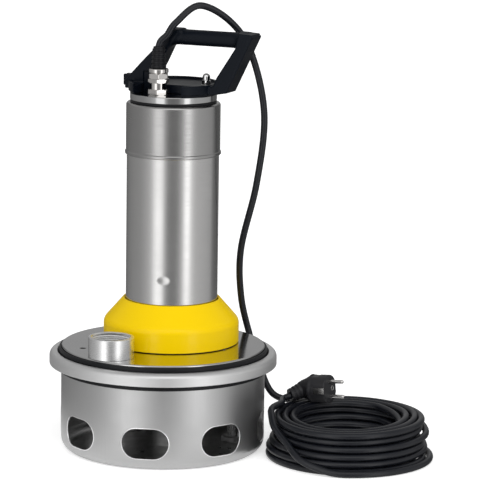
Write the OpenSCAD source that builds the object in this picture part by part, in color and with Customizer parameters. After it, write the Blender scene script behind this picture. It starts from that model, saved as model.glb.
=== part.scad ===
// Submersible sump pump: a wet motor column on a stainless strainer base, with its
// carry handle, cable gland, coiled mains cable and moulded plug.
// Millimetres, +Z up. The origin is the centre of the base where it rests on the floor,
// +X runs along the handle's grip, and the outlet stands on the -Y side.

/* [Strainer base] */
// Outside radius of the strainer can
can_r = 128.5; // [127:0.5:129.5]
// Sheet thickness of the can
can_wall = 1.5; // [1:0.1:2]
// Radius between the can's wall and its floor
can_corner = 16; // [10:1:16]
// Width of one inlet slot, end to end
slot_w = 58; // [45:1:62]
// Height of one inlet slot
slot_h = 37; // [30:1:37]
// Number of inlet slots round the can
slot_count = 8; // [5:1:9]

/* [Rim and cover plate] */
// Outside radius of the rolled rim ring
rim_r = 143.3; // [142.5:0.1:145]
// Outside radius of the cover plate
plate_r = 128; // [127:0.5:128]

/* [Outlet] */
// Outside diameter of the outlet socket
outlet_od = 56.8; // [54:0.2:58]
// Wall radius of the socket's parallel pipe thread, taken at its root
outlet_bore_r = 23.95; // [23.9:0.05:24.2]
// Height of the socket's mouth
outlet_top = 159; // [150:1:165]

/* [Motor column] */
// Distance of the motor's axis behind the base's centre
motor_y = 23.5; // [22:0.5:24]
// Outside radius of the motor tube
tube_r = 58; // [58:0.1:58.2]
// Radius of the yellow oil housing at its foot
housing_r = 85.6; // [85:0.2:88]

/* [Handle] */
// Height of the centre of the grip bar
grip_z = 520.3; // [518:0.1:521]
// Radius of the grip bar
grip_r = 9.8; // [8:0.1:11]
// Depth of the two handle legs, front to back
leg_depth = 30; // [26:1:32]

/* [Cable and plug] */
// Diameter of the mains cable
cable_d = 8.6; // [8:0.1:8.6]
// Radius of the coil's outer column of turns, to the cable's centre
coil_r = 95; // [92:1:95]
// Layers of turns in the coil, an even number
coil_layers = 6; // [4:2:6]

/* [Hidden] */
$fn = 96;
gap = 0.05;          // left between touching pieces
over = 1;            // how far a cutter runs past a face

steel = "silver";
satin = "lightgray";
black = "#1c1e22";
brass = "goldenrod";

// Base
slot_z = 35;                      // height of the slot centres
first_slot = 15;                  // angle of the first slot
flange_r = 141.8;                 // outside of the can's flange
flange_low = 118;
flange_top = flange_low + can_wall;
rim_low = 110;
rim_top = 126;
rim_wall = 1.3;
rim_roll = 6.5;                   // outside radius of the rolled crest
rim_inner = 132;                  // inside of the rim's lip
gasket_top = 131.2;
skirt_seal_low = 102.5;
plate_t = 3;
plate_top = 133.5;
plate_low = plate_top - plate_t;
plate_holes = [[-78.5, -69.4, 4], [84.5, 0.9, 2]];   // X, Y and radius: vent and drain
spigot_r = 39.9;                  // locates the oil housing in plate and casing
outlet_x = -26.1;
outlet_y = -97;
riser_bore = 19;
riser_boss_r = 23.4;              // clears the inside of the cover plate's skirt

// Volute
casing_low = 66;
chamber_low = 76;
chamber_top = 108;
flange_under = 122;               // underside of the casing's mounting flange
casing_top = plate_low - 0.1;
volute_start = 55;                // chamber radius just past the tongue
volute_growth = 13;               // and how much it opens in one turn
volute_wall = 4;
tongue_angle = 191;
duct_z = 92;
duct_bore = 15.5;
duct_x = -49;                     // where the duct leaves the volute
duct_y = 13.9;
mouth_r = 53.5;                   // opening that the suction cover closes
inlet_r = 30;
bolt_circle = 78;
stay_circle = 80;
stay_angles = [30, 150, 310];
screw_circle = 60.5;
pocket_top = 7;                   // inside height of the bolt pockets in the base

// Impeller and shaft
impeller_r = 50;
impeller_low = 78;
impeller_high = 101;
hub_low = 86;
hub_top = 104;
shaft_tip_r = 6;
shaft_hub_r = 7;
shaft_seal_r = 9;
shaft_low_r = 10;
shaft_core_r = 12;
shaft_up_r = 8.5;
seat_low = 130;
seat_top = 138;

// Oil housing and motor
housing_low = 134.3;
housing_floor = 144.3;
tube_low = 150 + gap;
tube_top = 392;
tube_wall = 1.5;
tube_in = tube_r - tube_wall;
housing_top = 189.6;
oring_z = 172;
lower_bearing_z = 178;            // underside of the 6204 bearing
upper_bearing_z = 352;            // underside of the 6203 bearing
lower_size = [14, 16.75, 3.9];    // width, pitch radius and ball radius of the 6204
upper_size = [12, 14.25, 3.3];    // and of the 6203
ball_count = 8;                   // in either bearing
core_low = 225;
core_high = 325;
stator_bore = 32;
rotor_r = 31.5;
bar_count = 18;                   // bars of the squirrel cage
bar_circle = 26.5;
bar_r = 2.4;
tooth_count = 24;                 // winding slots of the stator, their width and where they lie
tooth_slot_w = 5;
tooth_slot_in = 36;
tooth_slot_out = 48;
dimple_z = 221;

// Head
sleeve_low = 373;
sleeve_r = 59.2;
sleeve_top = 438.5;
lid_r = 54.5;
lid_low = sleeve_top + 3;
lid_top = 450;
stud_x = 44.6;
stud_r = 3;
stud_low = 362;
bracket_top = 372;
capacitor_x = 12;
capacitor_y = 22.5;
capacitor_r = 17.5;

// Handle, in X and Z with X from the motor's axis
cap_r = 56.5;
cap_low = lid_top + gap;
cap_top = 464;
dish_depth = 3;
notch_from = -35;                 // the front of the cap is cut away here for the gland
notch_to = 31;

// Gland and cable entry, from the motor's axis
gland_x = -8.3;
gland_y = -26.9;
nut_top = 482.5;
boot_top = 510;

// Coil and plug
coil_x = 227;
coil_y = 67.5;
coil_oval = 4;                    // the coil is this much out of round, each way
coil_oval_turn = 113;             // and this is the direction of its long axis
column_pitch = 11;
layer_pitch = cable_d + 0.05;
turn_steps = 12;
lead_angle = 115;                 // where the lead joins the coil
shift_angle = 85;                 // where each turn starts moving to the next place
shift_span = 90;
plug_centre = [169.1, 105.9, 71];
plug_turn = [0, -5.5, -5];        // it points along +X, nose up a little
plug_r = 18;
earth_y = 6.5;                    // the earth socket, beside the pins
earth_r = 3.4;
plug_face = 17;
pin_z = 9.5;
pin_r = 2.4;
pin_root_r = 2;
tail_root = [151.3, 106.3, 69.3];
tail_end = [137.2, 89.8, 61.7];

// ---------------------------------------------------------------- helpers

module at_motor() { translate([0, motor_y, 0]) children(); }

module disc(r, low, high) { translate([0, 0, low]) cylinder(r = r, h = high - low); }

module ring(inside, outside, low, high) {
    difference() {
        disc(outside, low, high);
        disc(inside, low - over, high + over);
    }
}

module round_copies(count, radius, first = 0) {
    for (i = [0 : count - 1])
        rotate([0, 0, first + i * 360 / count]) translate([radius, 0, 0]) children();
}

module at_angles(angles, radius) {
    for (a = angles) rotate([0, 0, a]) translate([radius, 0, 0]) children();
}

module hexagon(across, low, high) {
    translate([0, 0, low]) cylinder(r = across / sqrt(3), h = high - low, $fn = 6);
}

// An upright cup with rounded bottom edge
module cup(r, corner, low, high) {
    translate([0, 0, low]) rotate_extrude() union() {
        square([r - corner, high - low]);
        translate([0, corner]) square([r, high - low - corner]);
        translate([r - corner, corner]) circle(corner);
    }
}

module stadium(w, h) {
    square([w - h, h], center = true);
    for (side = [-1, 1]) translate([side * (w - h) / 2, 0]) circle(h / 2);
}

// A hexagon bolt or screw hanging head down, its head's top at z
module bolt_up(r, z, length, across, head) {
    hexagon(across, z - head, z);
    disc(r, z - gap, z + length);
}

function unit(v) = v / norm(v);

function tangents(path) = [for (i = [0 : len(path) - 1])
    unit(path[min(i + 1, len(path) - 1)] - path[max(i - 1, 0)])];

// Carries a side direction along the path without twisting it
function side_vectors(t, first) = [
    for (i = 0, n = unit(first - (first * t[0]) * t[0]); i < len(t);
         i = i + 1, n = i < len(t) ? unit(n - (n * t[i]) * t[i]) : n) n];

// A round wire of radius r along a path, with flat ends
module sweep(path, r, sides, first) {
    t = tangents(path);
    n = side_vectors(t, first);
    last = len(path) - 1;
    points = [for (i = [0 : last], k = [0 : sides - 1])
        let (a = (k + 0.5) * 360 / sides)
        path[i] + r * (cos(a) * n[i] + sin(a) * cross(t[i], n[i]))];
    walls = [for (i = [0 : last - 1], k = [0 : sides - 1], half = [0, 1])
        let (a = i * sides + k, b = i * sides + (k + 1) % sides)
        half == 0 ? [a, a + sides, b] : [b, a + sides, b + sides]];
    start = [[for (k = [0 : sides - 1]) k]];
    end = [[for (k = [sides - 1 : -1 : 0]) last * sides + k]];
    polyhedron(points, concat(start, walls, end));
}

function spline_point(a, b, c, d, s) =
    0.5 * (2 * b + (c - a) * s + (2 * a - 5 * b + 4 * c - d) * s * s
        + (3 * b - a - 3 * c + d) * s * s * s);

// A smooth curve through all but the first and last of the points
function spline(p, steps) = [for (i = [1 : len(p) - 3], s = [0 : steps - 1])
    spline_point(p[i - 1], p[i], p[i + 1], p[i + 2], s / steps)];

function smooth(s) = let (u = max(0, min(1, s))) u * u * (3 - 2 * u);

// ---------------------------------------------------------------- strainer base

module strainer_can() {
    color(steel) difference() {
        union() {
            cup(can_r, can_corner, 0, flange_top);
            disc(flange_r, flange_low, flange_top);
        }
        difference() {
            cup(can_r - can_wall, can_corner - can_wall, can_wall, flange_top + over);
            at_motor() at_angles(stay_angles, stay_circle)
                disc(14, 0, pocket_top + can_wall);
        }
        at_motor() at_angles(stay_angles, stay_circle) {
            disc(12.5, -over, pocket_top);
            disc(4.5, 0, 20);
        }
        round_copies(slot_count, can_r - 12, first_slot) translate([0, 0, slot_z])
            rotate([90, 0, 90]) linear_extrude(20) stadium(slot_w, slot_h);
    }
}

// Filled section of the rim ring from start outwards, drawn in by less
module rim_section(start, less, low) {
    crest = rim_r - rim_roll;
    shoulder = rim_top - rim_roll;
    translate([start, low]) square([rim_r - less - start, shoulder - low]);
    translate([start, low]) square([crest - start, rim_top - less - low]);
    intersection() {
        translate([crest, shoulder]) circle(rim_roll - less);
        translate([crest, shoulder]) square(rim_roll);
    }
}

// Rolled ring: an outer skirt, a rounded crest and a lip that traps the gasket
module rim_ring() {
    lip = 3.5;
    color(steel) rotate_extrude() union() {
        difference() {
            rim_section(rim_inner, 0, rim_low);
            rim_section(rim_inner - over, rim_wall, rim_low - over);
        }
        translate([rim_inner, rim_top - lip]) square([rim_wall, lip]);
    }
}

// Fills the gap between plate and rim, with a lip that stands up against the plate's edge
module rim_gasket() {
    inside = plate_r + gap;
    outside = rim_inner - gap;
    low = flange_top + gap;
    bead = (outside - inside) / 2;
    lip = 1.6;
    color(black) rotate_extrude() union() {
        translate([inside, low]) square([outside - inside, bead]);
        translate([inside + bead, low + bead]) circle(bead);
        translate([inside, low]) square([2 * lip, gasket_top - lip - low]);
        translate([inside + lip, gasket_top - lip]) circle(lip);
    }
}

// Rubber ring round the can, seen just below the rim ring
module skirt_seal() {
    lip = 1.5;
    inside = can_r + gap;
    outside = inside + 4;
    color(black) rotate_extrude() union() {
        translate([inside, skirt_seal_low]) square([outside - inside - lip, lip]);
        translate([inside, skirt_seal_low + lip])
            square([outside - inside, flange_low - gap - skirt_seal_low - lip]);
        translate([outside - lip, skirt_seal_low + lip]) circle(lip);
    }
}

module cover_plate() {
    edge = 1.5;
    color(satin) difference() {
        union() {
            rotate_extrude() union() {
                translate([0, plate_low]) square([plate_r - edge, plate_t]);
                translate([0, plate_low]) square([plate_r, plate_t - edge]);
                translate([plate_r - edge, plate_top - edge]) circle(edge);
            }
            ring(plate_r - 3, plate_r, flange_top + 0.2, plate_low + gap);
        }
        at_motor() {
            disc(spigot_r + 0.3, plate_low - over, plate_top + over);
            round_copies(4, bolt_circle) disc(3.3, plate_low - over, plate_top + over);
        }
        translate([outlet_x, outlet_y, 0]) disc(20.5, plate_low - over, plate_top + over);
        for (hole = plate_holes)
            translate([hole.x, hole.y, 0]) disc(hole.z, plate_low - over, plate_top + over);
    }
}

module outlet_socket() {
    low = plate_top + gap;
    color(satin) translate([outlet_x, outlet_y, 0]) difference() {
        disc(outlet_od / 2, low, outlet_top);
        disc(outlet_bore_r, low - over, outlet_top + over);
        translate([0, 0, outlet_top - 1])
            cylinder(r1 = outlet_bore_r, r2 = outlet_bore_r + 1.1, h = 1.1);
    }
}

module collar_gasket() {
    color(black) at_motor() difference() {
        ring(70, housing_r - 1.2, plate_top + gap, housing_low - gap);
        round_copies(4, bolt_circle) disc(3.3, plate_top - over, housing_low + over);
    }
}

// ---------------------------------------------------------------- pump end

// The spiral is four quarter arcs, each larger than the last, about the corners of a square
module volute(extra, low, high) {
    step = volute_growth / 4;
    reach = volute_start + volute_growth + volute_wall + over;
    translate([0, motor_y, low]) rotate([0, 0, tongue_angle]) linear_extrude(high - low) union() {
        circle(volute_start - step);
        for (i = [0 : 3]) rotate(i * 90) translate([-step / 2, step / 2]) intersection() {
            circle(volute_start + extra + step * (i + 0.5));
            square(reach);
        }
    }
}

// Runs level from the volute to the riser under the outlet
module duct(r) {
    run = [outlet_x - duct_x, outlet_y - duct_y];
    translate([duct_x, duct_y, duct_z]) rotate([0, 0, atan2(run.y, run.x)])
        rotate([0, 90, 0]) cylinder(r = r, h = norm(run));
}

module volute_casing() {
    color("dimgray") difference() {
        union() {
            volute(volute_wall, casing_low, flange_under + gap);
            at_motor() disc(84, flange_under, casing_top);
            duct(duct_bore + volute_wall);
            translate([outlet_x, outlet_y, 0]) disc(riser_boss_r, 72, casing_top - 1.5);
            at_motor() at_angles(stay_angles, stay_circle) disc(9, 62, 82);
            at_motor() at_angles(stay_angles, stay_circle - 12)
                translate([-8, -6, casing_low + 1]) cube([20, 12, 15]);
        }
        volute(0, chamber_low, chamber_top);
        duct(duct_bore);
        translate([outlet_x, outlet_y, 0]) disc(riser_bore, 78, casing_top + over);
        at_motor() {
            disc(mouth_r, casing_low - over, chamber_low + over);
            disc(20, chamber_top - over, flange_under + over);
            disc(spigot_r + 0.3, flange_under, casing_top + over);
            round_copies(4, bolt_circle) disc(3.3, flange_under - over, casing_top + over);
            round_copies(4, bolt_circle) disc(6.5, 112, flange_under);
            round_copies(4, screw_circle, 45) disc(2.55, casing_low - over, 74);
            at_angles(stay_angles, stay_circle) disc(4.05, 60, 79);
        }
    }
}

module riser_gasket() {
    color(black) translate([outlet_x, outlet_y, 0])
        ring(riser_bore + 0.2, riser_boss_r - 0.1, casing_top - 1.5 + gap, plate_low - gap);
}

module suction_cover() {
    low = casing_low - 5 - gap;
    color("dimgray") at_motor() difference() {
        union() {
            disc(67, low, casing_low - gap);
            disc(mouth_r - 0.1, casing_low - over, chamber_low - gap);
            disc(inlet_r + 4, low - 4, low + over);
        }
        disc(inlet_r, low - 4 - over, chamber_low + over);
        round_copies(4, screw_circle, 45) disc(2.8, low - over, casing_low + over);
    }
}

module cover_screws() {
    color(steel) at_motor() round_copies(4, screw_circle, 45)
        bolt_up(2.5, casing_low - 5 - 2 * gap, 12, 8, 3.5);
}

module pump_bolts() {
    color(steel) at_motor() round_copies(4, bolt_circle)
        bolt_up(3, flange_under - gap, 20, 10, 4);
}

module stay_bolts() {
    color(steel) at_motor() at_angles(stay_angles, stay_circle)
        bolt_up(4, pocket_top - gap, 71, 13, 5.3);
}

module stay_spacers() {
    color(steel) at_motor() at_angles(stay_angles, stay_circle)
        ring(4.3, 7, pocket_top + can_wall + gap, 62 - gap);
}

// Closed wheel with an eye underneath and backward-curved vanes
module impeller() {
    shroud = 3;
    vane_count = 6;
    vane_r = 34;
    color("gray") at_motor() difference() {
        union() {
            disc(impeller_r, impeller_high - shroud, impeller_high);
            ring(28, impeller_r, impeller_low, impeller_low + shroud);
            disc(14, hub_low, hub_top);
            intersection() {
                disc(impeller_r, impeller_low, impeller_high);
                for (i = [0 : vane_count - 1]) rotate([0, 0, i * 360 / vane_count])
                    translate([22, -24, 0])
                        ring(vane_r - 2, vane_r + 1, impeller_low + 1, impeller_high - 1);
                ring(27, impeller_r, impeller_low, impeller_high);
            }
        }
        disc(shaft_hub_r + gap, hub_low - over, hub_top + over);
        translate([0, -2 - gap, hub_low - over]) cube([shaft_hub_r + 2.2, 4 + 2 * gap, hub_top]);
    }
}

module impeller_nut() {
    color(steel) at_motor() difference() {
        hexagon(18, hub_low - 11, hub_low - 1.5 - gap);
        disc(shaft_tip_r + gap, hub_low - 12, hub_low);
    }
}

module impeller_washer() {
    color(steel) at_motor() ring(shaft_tip_r + 0.2, 12, hub_low - 1.5, hub_low - gap);
}

module impeller_key() {
    color(steel) at_motor()
        translate([shaft_hub_r - 1.9, -2, hub_low + 1]) cube([4, 4, hub_top - hub_low - 2]);
}

module seal_spring() {
    coils = 4;
    low = hub_top + 0.9;
    rise = 11.4;
    steps = 14;
    path = [for (i = [0 : coils * steps])
        [12.4 * cos(i * 360 / steps), 12.4 * sin(i * 360 / steps), low + rise * i / (coils * steps)]];
    color(steel) at_motor() sweep(path, 0.8, 6, [1, 0, 0]);
}

module seal_face() {
    color("#303234") at_motor() ring(shaft_seal_r + gap, 15.5, 117.4, seat_low - gap);
}

module seal_seat() {
    color("#c9c3b4") at_motor() ring(shaft_seal_r + 1.2, 17, seat_low, seat_top);
}

// ---------------------------------------------------------------- oil housing and motor

module housing_outline() {
    shoulder = 13;
    shoulder_z = 157;
    slope = 41.2;
    lip = 1.6;
    lip_centre = [tube_r + 2.6, housing_top - lip];
    bend = [housing_r - shoulder * (1 - cos(slope)), shoulder_z + shoulder * sin(slope)];
    lip_touch = lip_centre + lip * [cos(slope), sin(slope)];
    polygon([[0, housing_low], [housing_r, housing_low], [housing_r, shoulder_z], bend,
        lip_touch, [lip_centre.x, housing_top], [0, housing_top]]);
    translate([housing_r - shoulder, shoulder_z]) circle(shoulder);
    translate(lip_centre) circle(lip);
}

module oil_housing() {
    color("gold") at_motor() difference() {
        union() {
            rotate_extrude() housing_outline();
            disc(spigot_r, flange_under + 0.3, housing_low + over);
        }
        disc(50, housing_floor, tube_low + over);
        disc(tube_r + 0.1, tube_low - gap, housing_top + over);
        disc(12.5, seat_top, housing_floor + over);
        disc(17.05, seat_low - 0.1, seat_top + gap);
        disc(19, flange_under, seat_low);
        ring(tube_r, 60.4, oring_z - 1.6, oring_z + 1.6);
        round_copies(4, bolt_circle) disc(3.05, housing_low - over, 143);
    }
}

module housing_oring() {
    color(black) at_motor() translate([0, 0, oring_z]) rotate_extrude()
        translate([tube_r + 1.2, 0]) circle(1.1, $fn = 24);
}

module lip_seal() {
    color(black) at_motor() rotate_extrude() polygon([[shaft_seal_r + gap, 154.5],
        [shaft_seal_r + 1.2, 153], [17.4, 153], [17.4, 160], [shaft_seal_r + 4, 160],
        [shaft_seal_r + 4, 156], [shaft_seal_r + gap, 155.5]]);
}

module lower_bracket() {
    pocket = 23.55;
    color("darkgray") at_motor() difference() {
        union() {
            disc(tube_in - 0.1, tube_low, 162);
            disc(29, 161, 194.5);
            for (a = [0 : 45 : 315]) rotate([0, 0, a]) translate([28, -2, 161]) cube([24, 4, 14]);
        }
        disc(shaft_low_r + 1, 150, 196);
        disc(17.45, tube_low - over, 160.1);
        disc(pocket, lower_bearing_z - gap, 196);
        ring(pocket - over, 24.9, lower_bearing_z + 14.1, lower_bearing_z + 15.7);
    }
}

module bearing_circlip() {
    z = lower_bearing_z + 14.15;
    color(steel) at_motor() difference() {
        ring(20.5, 24.7, z, z + 1.5);
        rotate([0, 0, -60]) translate([0, -4, z - over]) cube([30, 8, 4]);
    }
}

// Deep-groove ball bearing: its two races, balls and cage, from its underside up.
// size is its width, pitch radius and ball radius
race_play = 0.08;                 // between balls and races

module race_section(inner, outer, size) {
    difference() {
        translate([inner, 0]) square([outer - inner, size.x]);
        translate([size.y, size.x / 2]) circle(size.z + race_play);
    }
}

module outer_race(outside_r, size, low) {
    at_motor() translate([0, 0, low]) rotate_extrude()
        race_section(size.y + size.z * 0.66, outside_r, size);
}

module inner_race(bore_r, size, low) {
    at_motor() translate([0, 0, low]) rotate_extrude()
        race_section(bore_r, size.y - size.z * 0.66, size);
}

module ball_set(size, low) {
    at_motor() translate([0, 0, low + size.x / 2]) round_copies(ball_count, size.y)
        sphere(size.z, $fn = 32);
}

// Crown cage: a band above the balls with prongs reaching down between them
module ball_cage(size, low) {
    half_band = 1.2;
    at_motor() translate([0, 0, low + size.x / 2]) difference() {
        ring(size.y - half_band, size.y + half_band, -size.z * 0.5, size.z + 1.3);
        round_copies(ball_count, size.y) sphere(size.z + race_play, $fn = 32);
    }
}

module lower_outer_race() { color(steel) outer_race(23.5, lower_size, lower_bearing_z); }
module lower_inner_race() { color(steel) inner_race(shaft_low_r + 0.03, lower_size, lower_bearing_z); }
module lower_balls() { color(steel) ball_set(lower_size, lower_bearing_z); }
module lower_cage() { color(brass) ball_cage(lower_size, lower_bearing_z); }
module upper_outer_race() { color(steel) outer_race(20, upper_size, upper_bearing_z); }
module upper_inner_race() { color(steel) inner_race(shaft_up_r + 0.03, upper_size, upper_bearing_z); }
module upper_balls() { color(steel) ball_set(upper_size, upper_bearing_z); }
module upper_cage() { color(brass) ball_cage(upper_size, upper_bearing_z); }

module shaft() {
    color(steel) at_motor() difference() {
        union() {
            disc(shaft_tip_r, 74, hub_low);
            disc(shaft_hub_r, hub_low - gap, hub_top);
            disc(shaft_seal_r, hub_top + gap, 177);
            disc(shaft_hub_r, hub_top - gap, hub_top + over);
            disc(shaft_low_r, 176, lower_bearing_z + 14);
            disc(shaft_core_r, lower_bearing_z + 14 + gap, upper_bearing_z - gap);
            disc(shaft_low_r, lower_bearing_z + 13, lower_bearing_z + 15);
            disc(shaft_up_r, upper_bearing_z - over, 365);
        }
        translate([shaft_hub_r - 2, -2 - gap, hub_low + 0.9])
            cube([4, 4 + 2 * gap, hub_top - hub_low - 1.8]);
    }
}

module rotor_core() {
    color("slategray") at_motor() difference() {
        ring(shaft_core_r + gap, rotor_r, core_low, core_high);
        round_copies(bar_count, bar_circle) disc(bar_r + gap, core_low - over, core_high + over);
    }
}

// The two end rings and the bars between them are one casting
module squirrel_cage() {
    end = 8;
    color("gainsboro") at_motor() union() {
        ring(19, rotor_r - 0.5, core_low - end, core_low - gap);
        ring(19, rotor_r - 0.5, core_high + gap, core_high + end);
        round_copies(bar_count, bar_circle) disc(bar_r, core_low - end / 2, core_high + end / 2);
    }
}

// One winding slot in plan, open to the bore through a narrow mouth
module winding_slot(less) {
    translate([tooth_slot_in + less, -tooth_slot_w / 2 + less])
        square([tooth_slot_out - tooth_slot_in - 2 * less, tooth_slot_w - 2 * less]);
}

module stator_core() {
    color("slategray") at_motor() translate([0, 0, core_low]) linear_extrude(core_high - core_low)
        difference() {
            circle(tube_in - 0.05);
            circle(stator_bore);
            round_copies(tooth_count, 0) {
                winding_slot(0);
                translate([stator_bore - over, -1]) square([tooth_slot_in - stator_bore + 2 * over, 2]);
            }
        }
}

// End turns above and below, joined through the slots
module stator_winding() {
    end = 22;
    color("chocolate") at_motor() union() {
        for (low = [core_low - end, core_high + 0.2]) translate([0, 0, low]) rotate_extrude() union() {
            translate([stator_bore + 2, 4]) square([19.5, end - 8.2]);
            translate([stator_bore + 6, 0]) square([11.5, end - 0.2]);
            for (x = [6, 17.5], z = [4, end - 4.2]) translate([stator_bore + x, z]) circle(4, $fn = 32);
        }
        translate([0, 0, core_low - 2]) linear_extrude(core_high - core_low + 4)
            round_copies(tooth_count, 0) winding_slot(0.3);
    }
}

module motor_tube() {
    dimple = 14;
    color(steel) at_motor() difference() {
        ring(tube_in, tube_r, tube_low, tube_top);
        round_copies(3, tube_r + dimple - 1.1, -76) translate([0, 0, dimple_z]) sphere(dimple);
    }
}

module upper_bracket() {
    color("darkgray") at_motor() difference() {
        union() {
            disc(tube_in - 0.1, stud_low, bracket_top);
            disc(25, upper_bearing_z - over, bracket_top);
        }
        disc(20.05, upper_bearing_z - 2, upper_bearing_z + 14.1);
        disc(shaft_low_r, upper_bearing_z, bracket_top - 3);
        for (side = [-1, 1]) translate([side * stud_x, 0, 0])
            disc(stud_r + gap, stud_low - over, bracket_top + over);
        translate([20, -38, 0]) disc(5, stud_low - over, bracket_top + over);
    }
}

// Preload spring: one split turn of square wire that rises and falls three times
module wave_spring() {
    z = upper_bearing_z + 13.05;
    half_gap = 4;
    path = [for (a = [half_gap : 4 : 360 - half_gap])
        [18.1 * cos(a), 18.1 * sin(a), z + 0.35 * sin(3 * a)]];
    color(steel) at_motor() sweep(path, 0.85, 4, [1, 0, 0]);
}

// ---------------------------------------------------------------- head

module head_sleeve() {
    shoulder = 4;
    bead_r = 2;
    inside = tube_r + gap;
    wall = sleeve_r - inside;
    color(steel) at_motor() difference() {
        rotate_extrude() union() {
            translate([0, sleeve_low]) square([sleeve_r, sleeve_top - shoulder - sleeve_low]);
            translate([0, sleeve_low]) square([sleeve_r - shoulder, sleeve_top - sleeve_low]);
            translate([sleeve_r - shoulder, sleeve_top - shoulder]) circle(shoulder);
            translate([sleeve_r + 1.1 - bead_r, sleeve_low + bead_r]) circle(bead_r);
        }
        rotate_extrude() union() {
            translate([0, sleeve_low - over]) square([inside, sleeve_top - shoulder - sleeve_low + over]);
            translate([0, sleeve_low - over])
                square([sleeve_r - shoulder, sleeve_top - wall - sleeve_low + over]);
            translate([sleeve_r - shoulder, sleeve_top - shoulder]) circle(shoulder - wall);
            translate([0, sleeve_top - 3]) square([50.3, 4]);
        }
    }
}

module run_capacitor() {
    color("whitesmoke") at_motor() translate([capacitor_x, capacitor_y, 0]) union() {
        disc(capacitor_r, bracket_top + gap, 424);
        for (side = [-1, 1]) translate([side * 6 - 0.4, -3, 423]) cube([0.8, 6, 6]);
    }
}

module capacitor_clamp() {
    low = bracket_top + gap;
    color(steel) at_motor() translate([capacitor_x, capacitor_y, 0]) difference() {
        union() {
            ring(capacitor_r + 0.1, capacitor_r + 1.3, low + 6, low + 16);
            translate([capacitor_r + 0.2, -6, low]) cube([1.1, 12, 14]);
            translate([capacitor_r + 0.2, -6, low]) cube([12, 12, 1.2]);
        }
        translate([capacitor_r + 7, 0, 0]) disc(2.1, low - over, low + 3);
    }
}

module terminal_block() {
    size = [36, 16, 18];
    color("#d8d2c0") at_motor() translate([gland_x, gland_y, bracket_top + gap]) difference() {
        translate([-size.x / 2, -size.y / 2, 0]) cube(size);
        for (i = [-1 : 1]) translate([i * 11, 0, 0]) disc(2.6, 6, size.z + over);
        for (i = [-1 : 1]) translate([i * 11, -size.y / 2 - over, 9]) rotate([-90, 0, 0])
            cylinder(r = 1.8, h = size.y + 2 * over);
    }
}

module lid_seal() {
    color(black) at_motor() ring(51, lid_r - 0.4, sleeve_top + gap, lid_low - gap);
}

module lid() {
    edge = 1.2;
    color("white") at_motor() difference() {
        union() {
            disc(lid_r - edge, lid_low, lid_top);
            disc(lid_r, lid_low + edge, lid_top - edge);
            for (z = [lid_low + edge, lid_top - edge]) translate([0, 0, z]) rotate_extrude()
                translate([lid_r - edge, 0]) circle(edge, $fn = 32);
            disc(50, 430, lid_low + over);
        }
        disc(46, 430 - over, 443);
        for (side = [-1, 1]) translate([side * stud_x, 0, 0]) disc(3.4, 429, lid_top + over);
        translate([gland_x, gland_y, 0]) disc(10, 429, lid_top + over);
    }
}

module tie_studs() {
    color(steel) at_motor() for (side = [-1, 1]) translate([side * stud_x, 0, 0])
        disc(stud_r, stud_low + over, cap_top + 8);
}

module stud_washers() {
    low = cap_top - dish_depth + gap;
    color(steel) at_motor() for (side = [-1, 1]) translate([side * stud_x, 0, 0])
        ring(3.2, 6.2, low, low + 1.5);
}

module acorn_nuts() {
    low = cap_top - dish_depth + 1.6;
    color("white") at_motor() for (side = [-1, 1]) translate([side * stud_x, 0, 0]) difference() {
        union() {
            hexagon(10, low, low + 6);
            disc(4.8, low + 6 - gap, low + 9.5);
            translate([0, 0, low + 9.5]) sphere(4.8, $fn = 48);
        }
        disc(3.05, low - over, low + 10.5);
    }
}

// ---------------------------------------------------------------- handle

// Outlines of the legs, as seen from the front
leg_top = grip_z + grip_r + 0.2;
left_leg = [[-60.4, 464], [-51.2, 473.9], [-11.5, 516.4], [1.5, leg_top], [12, leg_top],
    [-1.2, 509.1], [-17.3, 480.1], [-22, 470], [-22, 460], [-50, 460]];
right_leg = [[50, 452.5], [56.5, 451], [78.3, 455.1], [112.1, 525.1], [109.5, leg_top - 1], [93, leg_top],
    [89.2, 511.9], [64.1, 473.5], [60, 464], [53, 460]];

module leg(outline) {
    translate([0, leg_depth / 2, 0]) rotate([90, 0, 0]) linear_extrude(leg_depth) polygon(outline);
}

module carry_handle() {
    rim = 4.5;
    color("#20252c") at_motor() difference() {
        union() {
            difference() {
                union() {
                    disc(cap_r - 2, cap_low, 453);
                    disc(cap_r, 452, cap_top);
                }
                disc(cap_r - rim, cap_top - dish_depth, cap_top + over);
            }
            leg(left_leg);
            leg(right_leg);
            translate([0, 0, grip_z]) rotate([0, 90, 0]) cylinder(r = grip_r, h = 98);
            translate([-66.5, -7, 456]) cube([19.5, 14, 14]);
            translate([-62, -12, 453]) cube([14, 24, 11]);
        }
        translate([notch_from, -cap_r - over, cap_low - over])
            cube([notch_to - notch_from, cap_r - 13 + over, 20]);
        for (side = [-1, 1]) translate([side * stud_x, 0, 0]) disc(3.4, cap_low - over, cap_top + 1);
        translate([-stud_x, 0, 0]) disc(8.2, cap_top - dish_depth, 500);
    }
}

// ---------------------------------------------------------------- gland and cable entry

module at_gland() { translate([gland_x, gland_y + motor_y, 0]) children(); }

module gland_body() {
    color("white") at_gland() difference() {
        union() {
            disc(9.9, 440, lid_top + over);
            hexagon(24, lid_top + gap, 457);
            disc(11, 456.9, 465);
            hexagon(24, 465, 470);
            disc(8.4, 469.9, 477);
        }
        disc(4.7, 439, 480);
        disc(6.5, 472, 480);
    }
}

module gland_grommet() {
    color(black) at_gland() ring(4.45, 6.4, 472.1, 479.9);
}

module gland_nut() {
    color("white") at_gland() difference() {
        union() {
            hexagon(23, 470.1, 476.5);
            disc(12.4, 476.4, nut_top);
        }
        disc(8.5, 470, 477.2);
        disc(6.6, 470, 480);
        disc(4.7, 470, nut_top + over);
    }
}

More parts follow.
